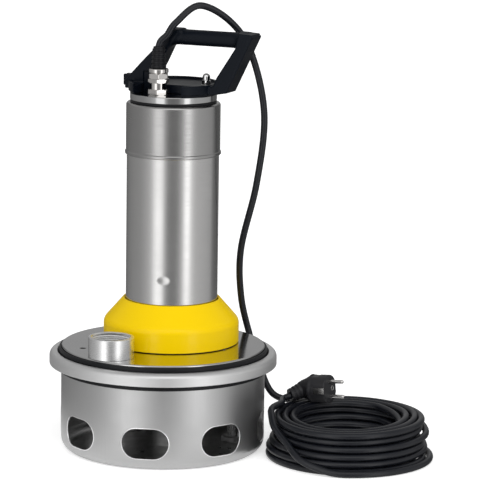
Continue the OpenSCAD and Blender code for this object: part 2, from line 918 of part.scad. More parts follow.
// Rubber sleeve with shallow rings that stiffens the cable above its gland
module cable_boot() {
    low = nut_top + gap;
    ribs = 5;
    rib_pitch = 5.2;
    color(black) at_gland() difference() {
        union() {
            translate([0, 0, low]) cylinder(r1 = 8.9, r2 = 7, h = boot_top - low);
            for (i = [0 : ribs - 1]) let (z = low + 1 + i * rib_pitch)
                translate([0, 0, z]) cylinder(r1 = 9.5 - i * 0.35, r2 = 9.25 - i * 0.35, h = 2.6);
        }
        disc(4.45, low - over, boot_top + over);
    }
}

// ---------------------------------------------------------------- cable, coil and plug

// The turns are numbered from the top outer one, in and out layer by layer
columns = 3;
turns = columns * coil_layers;
function layer_of(k) = coil_layers - 1 - floor(k / columns);
function column_of(k) = floor(k / columns) % 2 == 0 ? k % columns : columns - 1 - k % columns;
function turn_r(k) = k >= turns ? coil_r + cable_d + 0.2 : coil_r - column_pitch * column_of(k);
function turn_z(k) = k >= turns ? turn_z(turns - 1) : cable_d / 2 + 0.1 + layer_pitch * layer_of(k);

// Where one layer gives way to the next the cable bulges clear of its neighbours
function bulge(k, s) = k + 1 < turns && layer_of(k) != layer_of(k + 1)
    ? 3.3 * (1 - pow(2 * s - 1, 10)) * (column_of(k) == 0 ? 1 : -1) : 0;

function oval(angle) = coil_oval * cos(2 * (angle - coil_oval_turn));

function coil_point(angle, r, z) =
    [coil_x + (r + oval(angle)) * cos(angle), coil_y + (r + oval(angle)) * sin(angle), z];

// The coil runs clockwise, seen from above, so the angle falls as the cable goes on
function wound(angle) =
    let (past = shift_angle - angle, passes = floor(past / 360),
         s = smooth((past - 360 * passes) / shift_span),
         k = max(0, passes - 1), next = max(0, passes))
    angle > shift_angle ? coil_point(angle, turn_r(0), turn_z(0)) :
    coil_point(angle, turn_r(k) + (turn_r(next) - turn_r(k)) * s + (next > k ? bulge(k, s) : 0),
        turn_z(k) + (turn_z(next) - turn_z(k)) * s);

coil_end_angle = shift_angle - 360 * turns - 155;      // where the outside turn starts to climb
climb = 104;

// The last stretch climbs the outside of the coil to its top, then lies on it
function climbing(angle) =
    let (s = smooth(angle / 95), inward = smooth((angle - 83) / 24))
    coil_point(coil_end_angle - angle, turn_r(turns) - (cable_d + 1.5) * inward,
        turn_z(turns) + (turn_z(0) + cable_d + 0.3 - turn_z(turns)) * s);

entry = [gland_x, gland_y + motor_y, 0];

// Rises out of the boot, arches over the grip and hangs behind the column to the floor
hanging = concat([entry + [0, 0, 470], entry + [0, 0, 510.3]],
    [[1.2, 0.6, 524.5], [10.7, 6.4, 540], [33.8, 25.5, 560.2], [66.5, 47.2, 539.5], [87.5, 66, 497.6],
    [97, 86, 420], [82, 100, 330], [57, 111, 242], [51.6, 125.7, 178],
    [58, 139.5, 126], [73, 137, 88], [98, 131, 50], [138, 145, 44.5]],
    [wound(lead_angle), wound(lead_angle - 30)]);

tail_way = unit(tail_root - tail_end);
last_climb = climbing(climb);
tail_inside = tail_end + 12 * tail_way;
plug_lead = [climbing(climb - 15), last_climb, tail_end - 11 * tail_way, tail_end, tail_inside];

coil_steps = (lead_angle - coil_end_angle) * turn_steps / 360;
cable_path = concat([entry + [0, 0, 391.2], entry + [0, 0, 450]], spline(hanging, 4),
    [for (i = [0 : coil_steps]) wound(lead_angle - i * 360 / turn_steps)],
    [for (a = [13 : 13 : climb - 13]) climbing(a)],
    spline(plug_lead, 4), [tail_end, tail_inside]);

module power_cable() {
    color(black) sweep(cable_path, cable_d / 2, 8, [1, 0, 0]);
}

module at_plug() { translate(plug_centre) rotate(plug_turn) children(); }

module along_x(r, low, high) {
    translate([low, 0, 0]) rotate([0, 90, 0]) cylinder(r = r, h = high - low);
}

// A straight bar of radius r from one point to another
module rod(from, to, r_from, r_to) {
    v = to - from;
    translate(from) rotate([0, acos(v.z / norm(v)), atan2(v.y, v.x)])
        cylinder(r1 = r_from, r2 = r_to, h = norm(v));
}

module plug_body() {
    color(black) difference() {
        union() {
            at_plug() {
                along_x(plug_r, -8, plug_face);
                translate([-20, 0, 0]) rotate([0, 90, 0]) cylinder(r1 = 11, r2 = plug_r, h = 12);
            }
            translate(tail_root) sphere(11, $fn = 48);
            rod(tail_root, tail_end, 10.8, 8.8);
        }
        at_plug() {
            for (side = [-1, 1]) translate([1, side * (plug_r - 0.5) - 1.5, -4.5]) cube([20, 3, 9]);
            for (side = [-1, 1]) translate([0, 0, side * pin_z]) along_x(pin_root_r + gap, 4, 20);
            translate([0, earth_y, 0]) along_x(earth_r + gap, 6, 20);
        }
        rod(tail_end - tail_way, tail_end + 13 * tail_way, cable_d / 2 + 0.1, cable_d / 2 + 0.1);
    }
}

// Each pin is thinner inside the body, and its shoulder stands on the body's face
module plug_pins() {
    root = 5;
    shoulder = plug_face + 0.2;
    tip = 34.6;
    end_r = 2;
    color("white") at_plug() for (side = [-1, 1]) translate([0, 0, side * pin_z]) rotate([0, 90, 0])
        rotate_extrude() union() {
            translate([0, root]) square([pin_root_r, shoulder - root + over]);
            translate([0, shoulder]) square([pin_r, tip - shoulder]);
            translate([0, tip]) square([pin_r - end_r, end_r]);
            translate([pin_r - end_r, tip]) intersection() {
                circle(end_r);
                square(end_r);
            }
        }
}

// Two strips in the sides and a socket in the face
module earth_contacts() {
    strip_y = plug_r - 1.55;
    color(brass) at_plug() {
        for (side = [-1, 1]) translate([1.1, side * strip_y - 0.4, -4.2]) cube([15.8, 0.8, 8.4]);
        translate([0, earth_y, 0]) difference() {
            along_x(earth_r, 6.1, plug_face + 0.2);
            along_x(earth_r - 1.1, 8, plug_face + over);
        }
    }
}

// ---------------------------------------------------------------- the nodes

strainer_can();
rim_ring();
rim_gasket();
skirt_seal();
cover_plate();
outlet_socket();
collar_gasket();
volute_casing();
riser_gasket();
suction_cover();
cover_screws();
pump_bolts();
stay_bolts();
stay_spacers();
impeller();
impeller_nut();
impeller_washer();
impeller_key();
seal_spring();
seal_face();
seal_seat();
oil_housing();
housing_oring();
lip_seal();
lower_bracket();
bearing_circlip();
lower_outer_race();
lower_inner_race();
lower_cage();
lower_balls();
shaft();
rotor_core();
squirrel_cage();
stator_core();
stator_winding();
motor_tube();
upper_bracket();
upper_outer_race();
upper_inner_race();
upper_cage();
upper_balls();
wave_spring();
head_sleeve();
run_capacitor();
capacitor_clamp();
terminal_block();
lid_seal();
lid();
tie_studs();
stud_washers();
acorn_nuts();
carry_handle();
gland_body();
gland_grommet();
gland_nut();
cable_boot();
power_cable();
plug_body();
plug_pins();
earth_contacts();
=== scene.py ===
"""Looks of the submersible sump pump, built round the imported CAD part.

Lengths are written in millimetres and turned into metres when a mesh is made. The outer
pieces are fine meshes of their own that stand for the CAD nodes of the same place, and
the parts inside the housing are the CAD nodes themselves with procedural finishes.
"""

import math

import bmesh
import bpy
import numpy as np
from mathutils import Matrix, Vector


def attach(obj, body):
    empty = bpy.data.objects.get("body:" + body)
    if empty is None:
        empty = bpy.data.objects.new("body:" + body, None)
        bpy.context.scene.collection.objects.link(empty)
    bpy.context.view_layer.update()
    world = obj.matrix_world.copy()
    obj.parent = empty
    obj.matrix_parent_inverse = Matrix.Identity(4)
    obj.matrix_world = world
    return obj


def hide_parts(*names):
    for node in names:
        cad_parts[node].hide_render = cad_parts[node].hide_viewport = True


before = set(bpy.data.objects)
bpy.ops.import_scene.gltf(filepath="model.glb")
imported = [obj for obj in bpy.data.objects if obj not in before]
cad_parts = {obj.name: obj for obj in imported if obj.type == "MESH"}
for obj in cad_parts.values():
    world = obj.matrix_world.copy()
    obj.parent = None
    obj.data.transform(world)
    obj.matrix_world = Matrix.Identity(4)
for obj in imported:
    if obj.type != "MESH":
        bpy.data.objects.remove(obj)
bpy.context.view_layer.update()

MM = 0.001
MOTOR = (0.0, 23.5)           # the motor's axis in plan
SOCKET = (-26.1, -97.0)       # the outlet's
GLAND = (-8.3, -3.4)          # the cable gland's
STEPS = 192                   # facets of a turned piece
COPIES = 8                    # inlet slots round the can
TAU = 2 * math.pi

# ------------------------------------------------------------------ materials


class Nodes:
    """A node tree built up step by step."""

    def __init__(self, tree):
        self.tree = tree

    def new(self, kind, **settings):
        made = self.tree.nodes.new(kind)
        for key, value in settings.items():
            setattr(made, key, value)
        return made

    def feed(self, socket, value):
        if isinstance(value, bpy.types.NodeSocket):
            self.tree.links.new(value, socket)
        else:
            socket.default_value = value

    def maths(self, how, *values):
        step = self.new("ShaderNodeMath", operation=how)
        for socket, value in zip(step.inputs, values):
            self.feed(socket, value)
        return step.outputs[0]

    def reach(self, x, y):
        """Distance from the origin in plan."""
        return self.maths("SQRT", self.maths("ADD", self.maths("MULTIPLY", x, x),
                                             self.maths("MULTIPLY", y, y)))

    def split(self, vector):
        step = self.new("ShaderNodeSeparateXYZ")
        self.feed(step.inputs[0], vector)
        return step.outputs[:]

    def texture(self, kind, vector, **inputs):
        step = self.new(kind)
        self.feed(step.inputs["Vector"], vector)
        for key, value in inputs.items():
            step.inputs[key].default_value = value
        return step

    def ramp(self, value, low, high, **settings):
        """Carries value from the range low onto the range high."""
        step = self.new("ShaderNodeMapRange", **settings)
        self.feed(step.inputs["Value"], value)
        for key, number in zip(("From Min", "From Max", "To Min", "To Max"), low + high):
            step.inputs[key].default_value = number
        return step.outputs[0]

    def mix(self, amount, a, b):
        step = self.new("ShaderNodeMix", data_type="RGBA")
        self.feed(step.inputs[0], amount)
        self.feed(step.inputs[6], a)
        self.feed(step.inputs[7], b)
        return step.outputs[2]

    def choose(self, amount, a, b, end):
        """Sends shader a or b, or their mix, to the tree's output."""
        step = self.new("ShaderNodeMixShader")
        for socket, value in zip(step.inputs, (amount, a, b)):
            self.feed(socket, value)
        self.feed(end.inputs[0], step.outputs[0])


class Finish(Nodes):
    """A material with its own place and one main shader."""

    def __init__(self, name):
        self.material = bpy.data.materials.new(name)
        self.material.use_nodes = True
        super().__init__(self.material.node_tree)
        self.shader = self.tree.nodes["Principled BSDF"]
        self.place = self.new("ShaderNodeTexCoord").outputs["Object"]

    def noise(self, scale, detail=4.0, rough=0.55):
        """Noise with one scale per axis, in features per metre."""
        mapping = self.new("ShaderNodeMapping")
        self.feed(mapping.inputs["Vector"], self.place)
        mapping.inputs["Scale"].default_value = scale
        return self.texture("ShaderNodeTexNoise", mapping.outputs[0], Scale=1.0, Detail=detail,
                            Roughness=rough).outputs[0]

    def woven(self, x, y, z, detail=3.0):
        """Noise over coordinates of the finish's own."""
        join = self.new("ShaderNodeCombineXYZ")
        for socket, value in zip(join.inputs, (x, y, z)):
            self.feed(socket, value)
        return self.texture("ShaderNodeTexNoise", join.outputs[0], Scale=1.0, Detail=detail).outputs[0]

    def plan(self, centre):
        """Plan coordinates from a centre, and the height."""
        x, y, z = self.split(self.place)
        return self.maths("SUBTRACT", x, centre[0] * MM), self.maths("SUBTRACT", y, centre[1] * MM), z

    def around(self, centre, per_turn, along, detail=3.0):
        """Noise drawn out into rings round a vertical axis."""
        x, y, z = self.plan(centre)
        angle = self.maths("ARCTAN2", y, x)
        radius = self.reach(x, y)
        return self.woven(self.maths("MULTIPLY", self.maths("SINE", angle), per_turn),
                          self.maths("MULTIPLY", radius, along), self.maths("MULTIPLY", z, along), detail)

    def span(self, value, low, high):
        """Stretches a noise from its usual range onto low to high."""
        return self.ramp(value, (0.3, 0.7), (low, high))

    def bump(self, height, strength, distance):
        step = self.new("ShaderNodeBump")
        self.feed(step.inputs["Height"], height)
        step.inputs["Strength"].default_value = strength
        step.inputs["Distance"].default_value = distance
        self.feed(self.shader.inputs["Normal"], step.outputs[0])


def grey(value, warm=0.0):
    return (value * (1 + warm), value, value * (1 - warm), 1.0)


def metal(name, colour, rough, grain, depth=0.12, spread=0.06, blotch=28.0, drawn=0.0, streak=0.08,
          shine=1.0):
    """Bright metal: grain makes fine lines, larger blotches vary shade and sheen, and drawn
    smears the highlights across brushing that runs round a vertical axis."""
    f = Finish(name)
    lines = grain(f)
    patches = f.noise((blotch, blotch, blotch), 3.0)
    dark = tuple(c * 0.92 for c in colour[:3]) + (1.0,)
    shade = f.mix(f.span(patches, 0.0, 1.0), colour, dark)
    scored = tuple(c * (1 - 2 * streak) for c in colour[:3]) + (1.0,)
    f.feed(f.shader.inputs["Base Color"], f.mix(f.span(lines, 0.0, 0.8), shade, scored))
    f.shader.inputs["Metallic"].default_value = shine
    sheen = f.maths("ADD", f.span(lines, -spread, spread), f.span(patches, rough * 0.9, rough * 1.15))
    f.feed(f.shader.inputs["Roughness"], sheen)
    if drawn:
        f.shader.inputs["Anisotropic"].default_value = drawn
        way = f.new("ShaderNodeTangent", direction_type="RADIAL", axis="Z")
        f.feed(f.shader.inputs["Tangent"], way.outputs[0])
    f.bump(lines, depth, 0.00004)
    return f.material


def rings(centre=MOTOR, along=2600.0):
    return lambda f: f.around(centre, 3.0, along)


def upright(centre, per_turn):
    """Streaks that run up and down a wall round the centre, and out along its flat parts."""
    def streaks(f):
        x, y, z = f.plan(centre)
        radius = f.maths("MAXIMUM", f.reach(x, y), 1e-5)
        across = [f.maths("MULTIPLY", f.maths("DIVIDE", side, radius), per_turn / 6) for side in (x, y)]
        return f.woven(*across, f.maths("MULTIPLY", z, 16.0))

    return streaks


def straight(x, y, z):
    return lambda f: f.noise((x, y, z), 3.0)


def soft(name, colour, rough, pebble=1400.0, depth=0.2, dust=0.05, coat=0.0, level=0.5):
    """Rubber, plastic or paint: a fine pebbled skin, with faint dust and uneven sheen."""
    f = Finish(name)
    skin = f.noise((pebble, pebble, pebble), 2.0)
    patches = f.noise((35.0, 35.0, 35.0), 4.0)
    scuffs = f.noise((900.0, 60.0, 220.0), 3.0)
    worn = tuple(min(1.0, c * (1 - dust) + 0.5 * dust) for c in colour[:3]) + (1.0,)
    amount = f.maths("MULTIPLY", f.span(patches, 0.0, 1.0), f.span(scuffs, 0.3, 1.0))
    f.feed(f.shader.inputs["Base Color"], f.mix(amount, colour, worn))
    f.feed(f.shader.inputs["Roughness"], f.maths("ADD", f.span(patches, rough * 0.9, rough * 1.12),
                                                 f.span(scuffs, -0.02, 0.02)))
    f.shader.inputs["Coat Weight"].default_value = coat
    f.shader.inputs["Coat Roughness"].default_value = 0.06
    f.shader.inputs["Specular IOR Level"].default_value = level
    f.bump(skin, depth, 0.00008)
    return f.material


def cast(name, colour, rough, shine):
    """Sand-cast metal: a coarse skin with darker hollows."""
    f = Finish(name)
    skin = f.noise((420.0, 420.0, 420.0), 6.0, 0.65)
    patches = f.noise((40.0, 40.0, 40.0), 4.0)
    dark = tuple(c * 0.6 for c in colour[:3]) + (1.0,)
    f.feed(f.shader.inputs["Base Color"], f.mix(f.span(skin, 1.0, 0.0), colour, dark))
    f.shader.inputs["Metallic"].default_value = shine
    f.feed(f.shader.inputs["Roughness"], f.span(patches, rough * 0.85, rough * 1.15))
    f.bump(skin, 0.5, 0.0004)
    return f.material


def layered(name, colour, per_metre, rough=0.45):
    """Stacked sheets or wound wire: fine level lines that shade and dent the surface."""
    f = Finish(name)
    lines = f.new("ShaderNodeTexWave", bands_direction="Z")
    f.feed(lines.inputs["Vector"], f.place)
    lines.inputs["Scale"].default_value = per_metre
    lines.inputs["Distortion"].default_value = 0.6
    dark = tuple(c * 0.45 for c in colour[:3]) + (1.0,)
    f.feed(f.shader.inputs["Base Color"], f.mix(lines.outputs[1], dark, colour))
    f.shader.inputs["Metallic"].default_value = 0.8
    f.feed(f.shader.inputs["Roughness"], f.span(f.noise((60.0, 60.0, 60.0)), rough - 0.06, rough + 0.06))
    f.bump(lines.outputs[1], 0.4, 0.0002)
    return f.material


LOOKS = {
    "satin_steel": (metal, grey(0.57), 0.37, upright((0, 0), 700.0), 0.025, 0.02, 12.0, 0.4, 0.03),
    # the slots' cut edges: a near-white steel, a painted highlight along the rolled edge
    "slot_edge_steel": (metal, grey(0.95), 0.30, straight(600.0, 600.0, 600.0), 0.05, 0.02),
    "ring_steel": (metal, grey(0.80), 0.44, rings((0, 0), 1400.0), 0.04, 0.03, 12.0, 0.3, 0.03),
    # the can's inside: the same steel made darker, as painted shade inside the can
    "inside_steel": (metal, grey(0.44), 0.34, straight(60.0, 60.0, 240.0), 0.08, 0.06),
    "thread_steel": (metal, grey(0.85), 0.36, rings(SOCKET, 3600.0), 0.06, 0.03, 28.0, 0.0, 0.08, 0.5),
    "plate_steel": (metal, grey(0.56), 0.12, straight(30.0, 2400.0, 900.0), 0.03, 0.02, 20.0, 0.0, 0.02),
    "machined_steel": (metal, grey(0.88), 0.26, rings(SOCKET, 3600.0), 0.12, 0.04, 12.0, 0.5, 0.05),
    "brushed_tube": (metal, grey(0.60, 0.01), 0.19, rings(MOTOR, 2600.0), 0.07, 0.04, 14.0, 0.7, 0.05),
    "sleeve_steel": (metal, grey(0.43, 0.01), 0.21, rings(MOTOR, 2200.0), 0.05, 0.04, 14.0, 0.6, 0.06),
    "polished_steel": (metal, grey(0.48), 0.10, rings(MOTOR, 3000.0), 0.02, 0.02, 14.0, 0.3, 0.03),
    "fastener_steel": (metal, grey(0.62), 0.28, straight(800.0, 800.0, 300.0)),
    "bright_nut": (metal, grey(0.82), 0.09, straight(500.0, 500.0, 500.0), 0.04, 0.02),
    "spring_steel": (metal, grey(0.45), 0.35, straight(900.0, 900.0, 900.0)),
    "bearing_steel": (metal, grey(0.72), 0.12, rings(MOTOR, 4000.0), 0.05, 0.02),
    "shaft_steel": (metal, grey(0.60), 0.20, rings(MOTOR, 3000.0), 0.12),
    "nickel_plate": (metal, grey(0.66, 0.03), 0.10, rings(GLAND, 2600.0), 0.05, 0.03, 20.0, 0.0, 0.04),
    "pin_brass": (metal, grey(0.78, 0.02), 0.14, straight(200.0, 2600.0, 2600.0), 0.04, 0.03),
    # the earth strips: the pins' brass made darker, painted shade for the strips sunk in their recesses
    "strip_brass": (metal, grey(0.34, 0.02), 0.20, straight(300.0, 900.0, 900.0), 0.02, 0.03),
    "brass_cage": (metal, (0.62, 0.42, 0.16, 1.0), 0.28, rings(MOTOR, 2200.0)),
    "cast_aluminium": (cast, grey(0.60), 0.42, 1.0),
    "cast_grey": (cast, (0.16, 0.17, 0.18, 1.0), 0.55, 0.5),
    "lamination_steel": (layered, grey(0.30), 600.0),
    "copper_winding": (layered, (0.55, 0.22, 0.07, 1.0), 260.0, 0.35),
    "yellow_paint": (soft, (0.93, 0.63, 0.0004, 1.0), 0.45, 500.0, 0.03, 0.0, 0.35, 0.0),
    "black_rubber": (soft, (0.006, 0.0064, 0.008, 1.0), 0.42, 1500.0, 0.12, 0.004, 0.0, 0.25),
    "cable_rubber": (soft, (0.0066, 0.0076, 0.0112, 1.0), 0.32, 1100.0, 0.12, 0.006, 0.0, 0.38),
    "plug_rubber": (soft, (0.0125, 0.0125, 0.0150, 1.0), 0.46, 1300.0, 0.2, 0.008, 0.0, 0.42),
    "handle_plastic": (soft, (0.0026, 0.0044, 0.0082, 1.0), 0.36, 1800.0, 0.12, 0.003, 0.0, 0.12),
    "seal_carbon": (soft, (0.02, 0.02, 0.022, 1.0), 0.25, 2500.0, 0.1),
    "seal_ceramic": (soft, (0.75, 0.70, 0.60, 1.0), 0.2, 2500.0, 0.05),
    "capacitor_white": (soft, (0.75, 0.75, 0.72, 1.0), 0.3, 900.0, 0.08),
    "terminal_plastic": (soft, (0.62, 0.57, 0.44, 1.0), 0.4, 1200.0, 0.15),
}
FINISHES = {name: make(name, *values) for name, (make, *values) in LOOKS.items()}

# ------------------------------------------------------------------ mesh helpers


def piece(name, points, faces, slot, nodes=(), sharp=32.0, look=None):
    """Makes a mesh piece from millimetre points; it rides on the root and stands for nodes. It has
    the finish of its slot, or the one that look names."""
    mesh = bpy.data.meshes.new(name)
    mesh.from_pydata([tuple(float(c) * MM for c in p) for p in points], [], [tuple(f) for f in faces])
    mesh.validate()
    obj = bpy.data.objects.new(name, mesh)
    bpy.context.scene.collection.objects.link(obj)
    dress(obj, look or slot, sharp)
    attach(obj, "root")
    if nodes:
        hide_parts(*nodes)
    return obj


def dress(obj, look, sharp):
    obj.data.materials.clear()
    obj.data.materials.append(FINISHES[look])
    obj.data.shade_smooth()
    obj.data.set_sharp_from_angle(angle=math.radians(sharp))
    if "even" not in obj.modifiers:
        even = obj.modifiers.new("even", "WEIGHTED_NORMAL")
        even.keep_sharp = True
        even.weight = 80


def rounded(corners, fineness=6):
    """Closed outline in plan: each corner is (x, y, radius), and radius 0 keeps it sharp."""
    out = []
    count = len(corners)
    for i, (x, y, radius) in enumerate(corners):
        here = np.array([x, y], float)
        back = np.array(corners[i - 1][:2], float) - here
        ahead = np.array(corners[(i + 1) % count][:2], float) - here
        if radius <= 0:
            out.append(here)
            continue
        u = back / np.linalg.norm(back)
        v = ahead / np.linalg.norm(ahead)
        half = math.acos(max(-1.0, min(1.0, float(u @ v)))) / 2
        reach = radius / math.tan(half)
        middle = here + (u + v) / np.linalg.norm(u + v) * radius / math.sin(half)
        start = here + u * reach - middle
        end = here + v * reach - middle
        for k in range(fineness + 1):
            s = k / fineness
            turn = math.pi - 2 * half
            p = (start * math.sin((1 - s) * turn) + end * math.sin(s * turn)) / math.sin(turn)
            out.append(middle + p)
    return [tuple(p) for p in out]


def quads(rows, n, loop=True, ring=True):
    """Faces between rows of n points: loop joins the last row to the first one, and ring joins
    each row's last point to its first."""
    faces = []
    for s in range(rows if loop else rows - 1):
        t = (s + 1) % rows
        for k in range(n if ring else n - 1):
            m = (k + 1) % n
            faces.append((s * n + k, t * n + k, t * n + m, s * n + m))
    return faces


def turned(outline, centre=MOTOR, steps=STEPS, shape=None):
    """Points and faces of a closed outline of (radius, height), turned about a vertical axis.
    shape(radius, height, angle) may change the radius, for flats."""
    points = []
    n = len(outline)
    for s in range(steps):
        a = s * TAU / steps
        for r, z in outline:
            rr = shape(r, z, a) if shape else r
            points.append((centre[0] + rr * math.cos(a), centre[1] + rr * math.sin(a), z))
    off_axis = [outline[k][0] >= 1e-6 or outline[(k + 1) % n][0] >= 1e-6 for k in range(n)]
    return points, [face for i, face in enumerate(quads(steps, n)) if off_axis[i % n]]


def turned_piece(name, corners, slot, nodes=(), centre=MOTOR, steps=STEPS, shape=None, sharp=32.0, look=None):
    points, faces = turned(rounded(corners), centre, steps, shape)
    obj = piece(name, points, faces, slot, nodes, sharp, look)
    weld(obj)
    return obj


def weld(obj, distance=0.0005):
    """Joins points that meet, drops faces without area, and turns every face outwards."""
    bm = bmesh.new()
    bm.from_mesh(obj.data)
    bmesh.ops.remove_doubles(bm, verts=bm.verts, dist=distance * MM)
    bmesh.ops.dissolve_degenerate(bm, edges=bm.edges, dist=distance * MM)
    bmesh.ops.recalc_face_normals(bm, faces=bm.faces)
    bm.to_mesh(obj.data)
    bm.free()


def cut(obj, cutters):
    """Takes each (points, faces) cutter out of obj."""
    for points, faces in cutters:
        mesh = bpy.data.meshes.new("cutter")
        mesh.from_pydata([tuple(float(c) * MM for c in p) for p in points], [], faces)
        tool = bpy.data.objects.new("cutter", mesh)
        bpy.context.scene.collection.objects.link(tool)
        weld(tool)
        step = obj.modifiers.new("cut", "BOOLEAN")
        step.operation = "DIFFERENCE"
        step.solver = "EXACT"
        step.object = tool
        bpy.context.view_layer.update()
        done = obj.evaluated_get(bpy.context.evaluated_depsgraph_get())
        mesh_after = bpy.data.meshes.new_from_object(done)
        obj.modifiers.clear()
        obj.data = mesh_after
        bpy.data.objects.remove(tool)
    return obj


def post(x, y, r, low, high, flare=0.0, steps=48):
    """A round cutter; flare opens its top edge into a small countersink."""
    outline = [(0, low), (r, low), (r, high), (0, high)]
    if flare:
        wide = r + flare
        outline = [(0, low), (r, low), (r, high - flare), (wide, high), (wide, high + 1), (0, high + 1)]
    return turned(outline, (x, y), steps)


def flats(across, turn):
    """Limits a radius to a hexagon, so that a turned outline becomes a chamfered nut."""
    inner = across / 2

    def limit(r, z, a):
        off = (a - math.radians(turn) + math.pi / 6) % (math.pi / 3) - math.pi / 6
        return min(r, inner / math.cos(off)) if r > inner * 0.98 else r

    return limit


# ------------------------------------------------------------------ strainer base

CAN_R = 128.5
CAN_WALL = 1.5
CAN_CORNER = 16.0
SLOT_HALF = 29.0
SLOT_R = 18.5
SLOT_Z = 35.0
FLANGE_R = 141.8
FLANGE_LOW = 118.0
PATCH_LOW = 12.0
PATCH_HIGH = 60.0
SECTOR = 360.0 / COPIES
STAY_ANGLES = (30, 150, 310)
STAY_CIRCLE = 80.0


def slot_edge(x, z):
    """Where the slot's outline lies from its centre in the direction (x, z)."""
    flat = SLOT_HALF - SLOT_R
    if abs(z) > 1e-9 and abs(x / z) * SLOT_R <= flat:
        k = SLOT_R / abs(z)
        return x * k, z * k
    side = math.copysign(flat, x)
    a = x * x + z * z
    b = -2 * x * side
    c = side * side - SLOT_R * SLOT_R
    k = (-b + math.sqrt(b * b - 4 * a * c)) / (2 * a)
    return x * k, z * k


def bent(radius, z):
    """The wall's radius at a height, drawn in where the foot of the can is rounded."""
    if z >= CAN_CORNER:
        return radius
    foot = CAN_R - CAN_CORNER
    return foot + math.sqrt((radius - foot) ** 2 - (CAN_CORNER - z) ** 2)


def slot_patch(first):
    """One sector of the can's wall with its slot: outside, rounded cut edge and inside."""
    across = STEPS // COPIES
    up = 10
    half = math.radians(SECTOR / 2)
    frame_points = []
    for i in range(across):
        frame_points.append((-half + i * 2 * half / across, PATCH_LOW))
    for i in range(up):
        frame_points.append((half, PATCH_LOW + i * (PATCH_HIGH - PATCH_LOW) / up))
    for i in range(across):
        frame_points.append((half - i * 2 * half / across, PATCH_HIGH))
    for i in range(up):
        frame_points.append((-half, PATCH_HIGH - i * (PATCH_HIGH - PATCH_LOW) / up))
    edge = []
    for a, z in frame_points:
        x, dz = slot_edge(CAN_R * a, (z - SLOT_Z) if abs(z - SLOT_Z) > 1e-6 else 1e-6)
        edge.append((math.asin(x / CAN_R), SLOT_Z + dz))
    lip = 1.5
    roll = 0.75
    rows = [(CAN_R, depth, lip) for depth in (1.0, 0.55, 0.2, 0.0)]
    plain = len(rows) - 1
    for k in range(5):
        t = math.pi / 2 * k / 4
        proud = 0.45 * math.sin(2 * t)
        rows.append((CAN_R + proud - roll * (1 - math.cos(t)), 0.0, 0.92 * lip * (1 - math.sin(t))))
    for k in range(1, 5):
        t = math.pi / 2 * k / 4
        rows.append((CAN_R - roll - roll * math.sin(t), 0.0, roll * (1 - math.cos(t))))
    edge_rows = len(rows) - 1
    rows += [(CAN_R - CAN_WALL, depth, roll) for depth in (0.2, 0.55, 1.0)]
    points = []
    n = len(edge)
    centre = math.radians(first)
    for radius, blend, off in rows:
        for (fa, fz), (ea, ez) in zip(frame_points, edge):
            apart = math.hypot((fa - ea) * CAN_R, fz - ez)
            out = Vector((ea * CAN_R, ez - SLOT_Z)).normalized() * off * min(1.0, 0.8 * apart / lip)
            a = ea + out.x / CAN_R
            z = ez + out.y
            a += (fa - a) * blend
            z += (fz - z) * blend
            r = bent(radius, z)
            points.append((r * math.cos(centre + a), r * math.sin(centre + a), z))
    faces = []
    bright = []
    for r in range(len(rows) - 1):
        for k in range(n):
            m = (k + 1) % n
            faces.append((r * n + k, r * n + m, (r + 1) * n + m, (r + 1) * n + k))
            # mark 1 gives the cut edge a brighter steel as painted highlight, mark 2 the inside a darker
            # steel as painted shade
            bright.append(0 if r < plain else 1 if r < edge_rows else 2)
    return points, faces, bright


def open_turned(outline, first):
    """Points and faces of an open outline turned about the can's own axis."""
    points = []
    for s in range(STEPS):
        a = math.radians(first) + s * TAU / STEPS
        points += [(r * math.cos(a), r * math.sin(a), z) for r, z in outline]
    return points, quads(STEPS, len(outline), ring=False)


def arc(x, z, r, start, end, count):
    return [(x + r * math.cos(math.radians(start + (end - start) * i / count)),
             z + r * math.sin(math.radians(start + (end - start) * i / count))) for i in range(count + 1)]


def shade_can(obj, marks):
    """Gives the can, beside its first finish, a brighter slot-edge steel as painted highlight and a darker
    inside steel as painted shade, by each face's mark.
    """
    for extra in ("slot_edge_steel", "inside_steel"):
        obj.data.materials.append(FINISHES[extra])
    obj.data.polygons.foreach_set("material_index", marks)


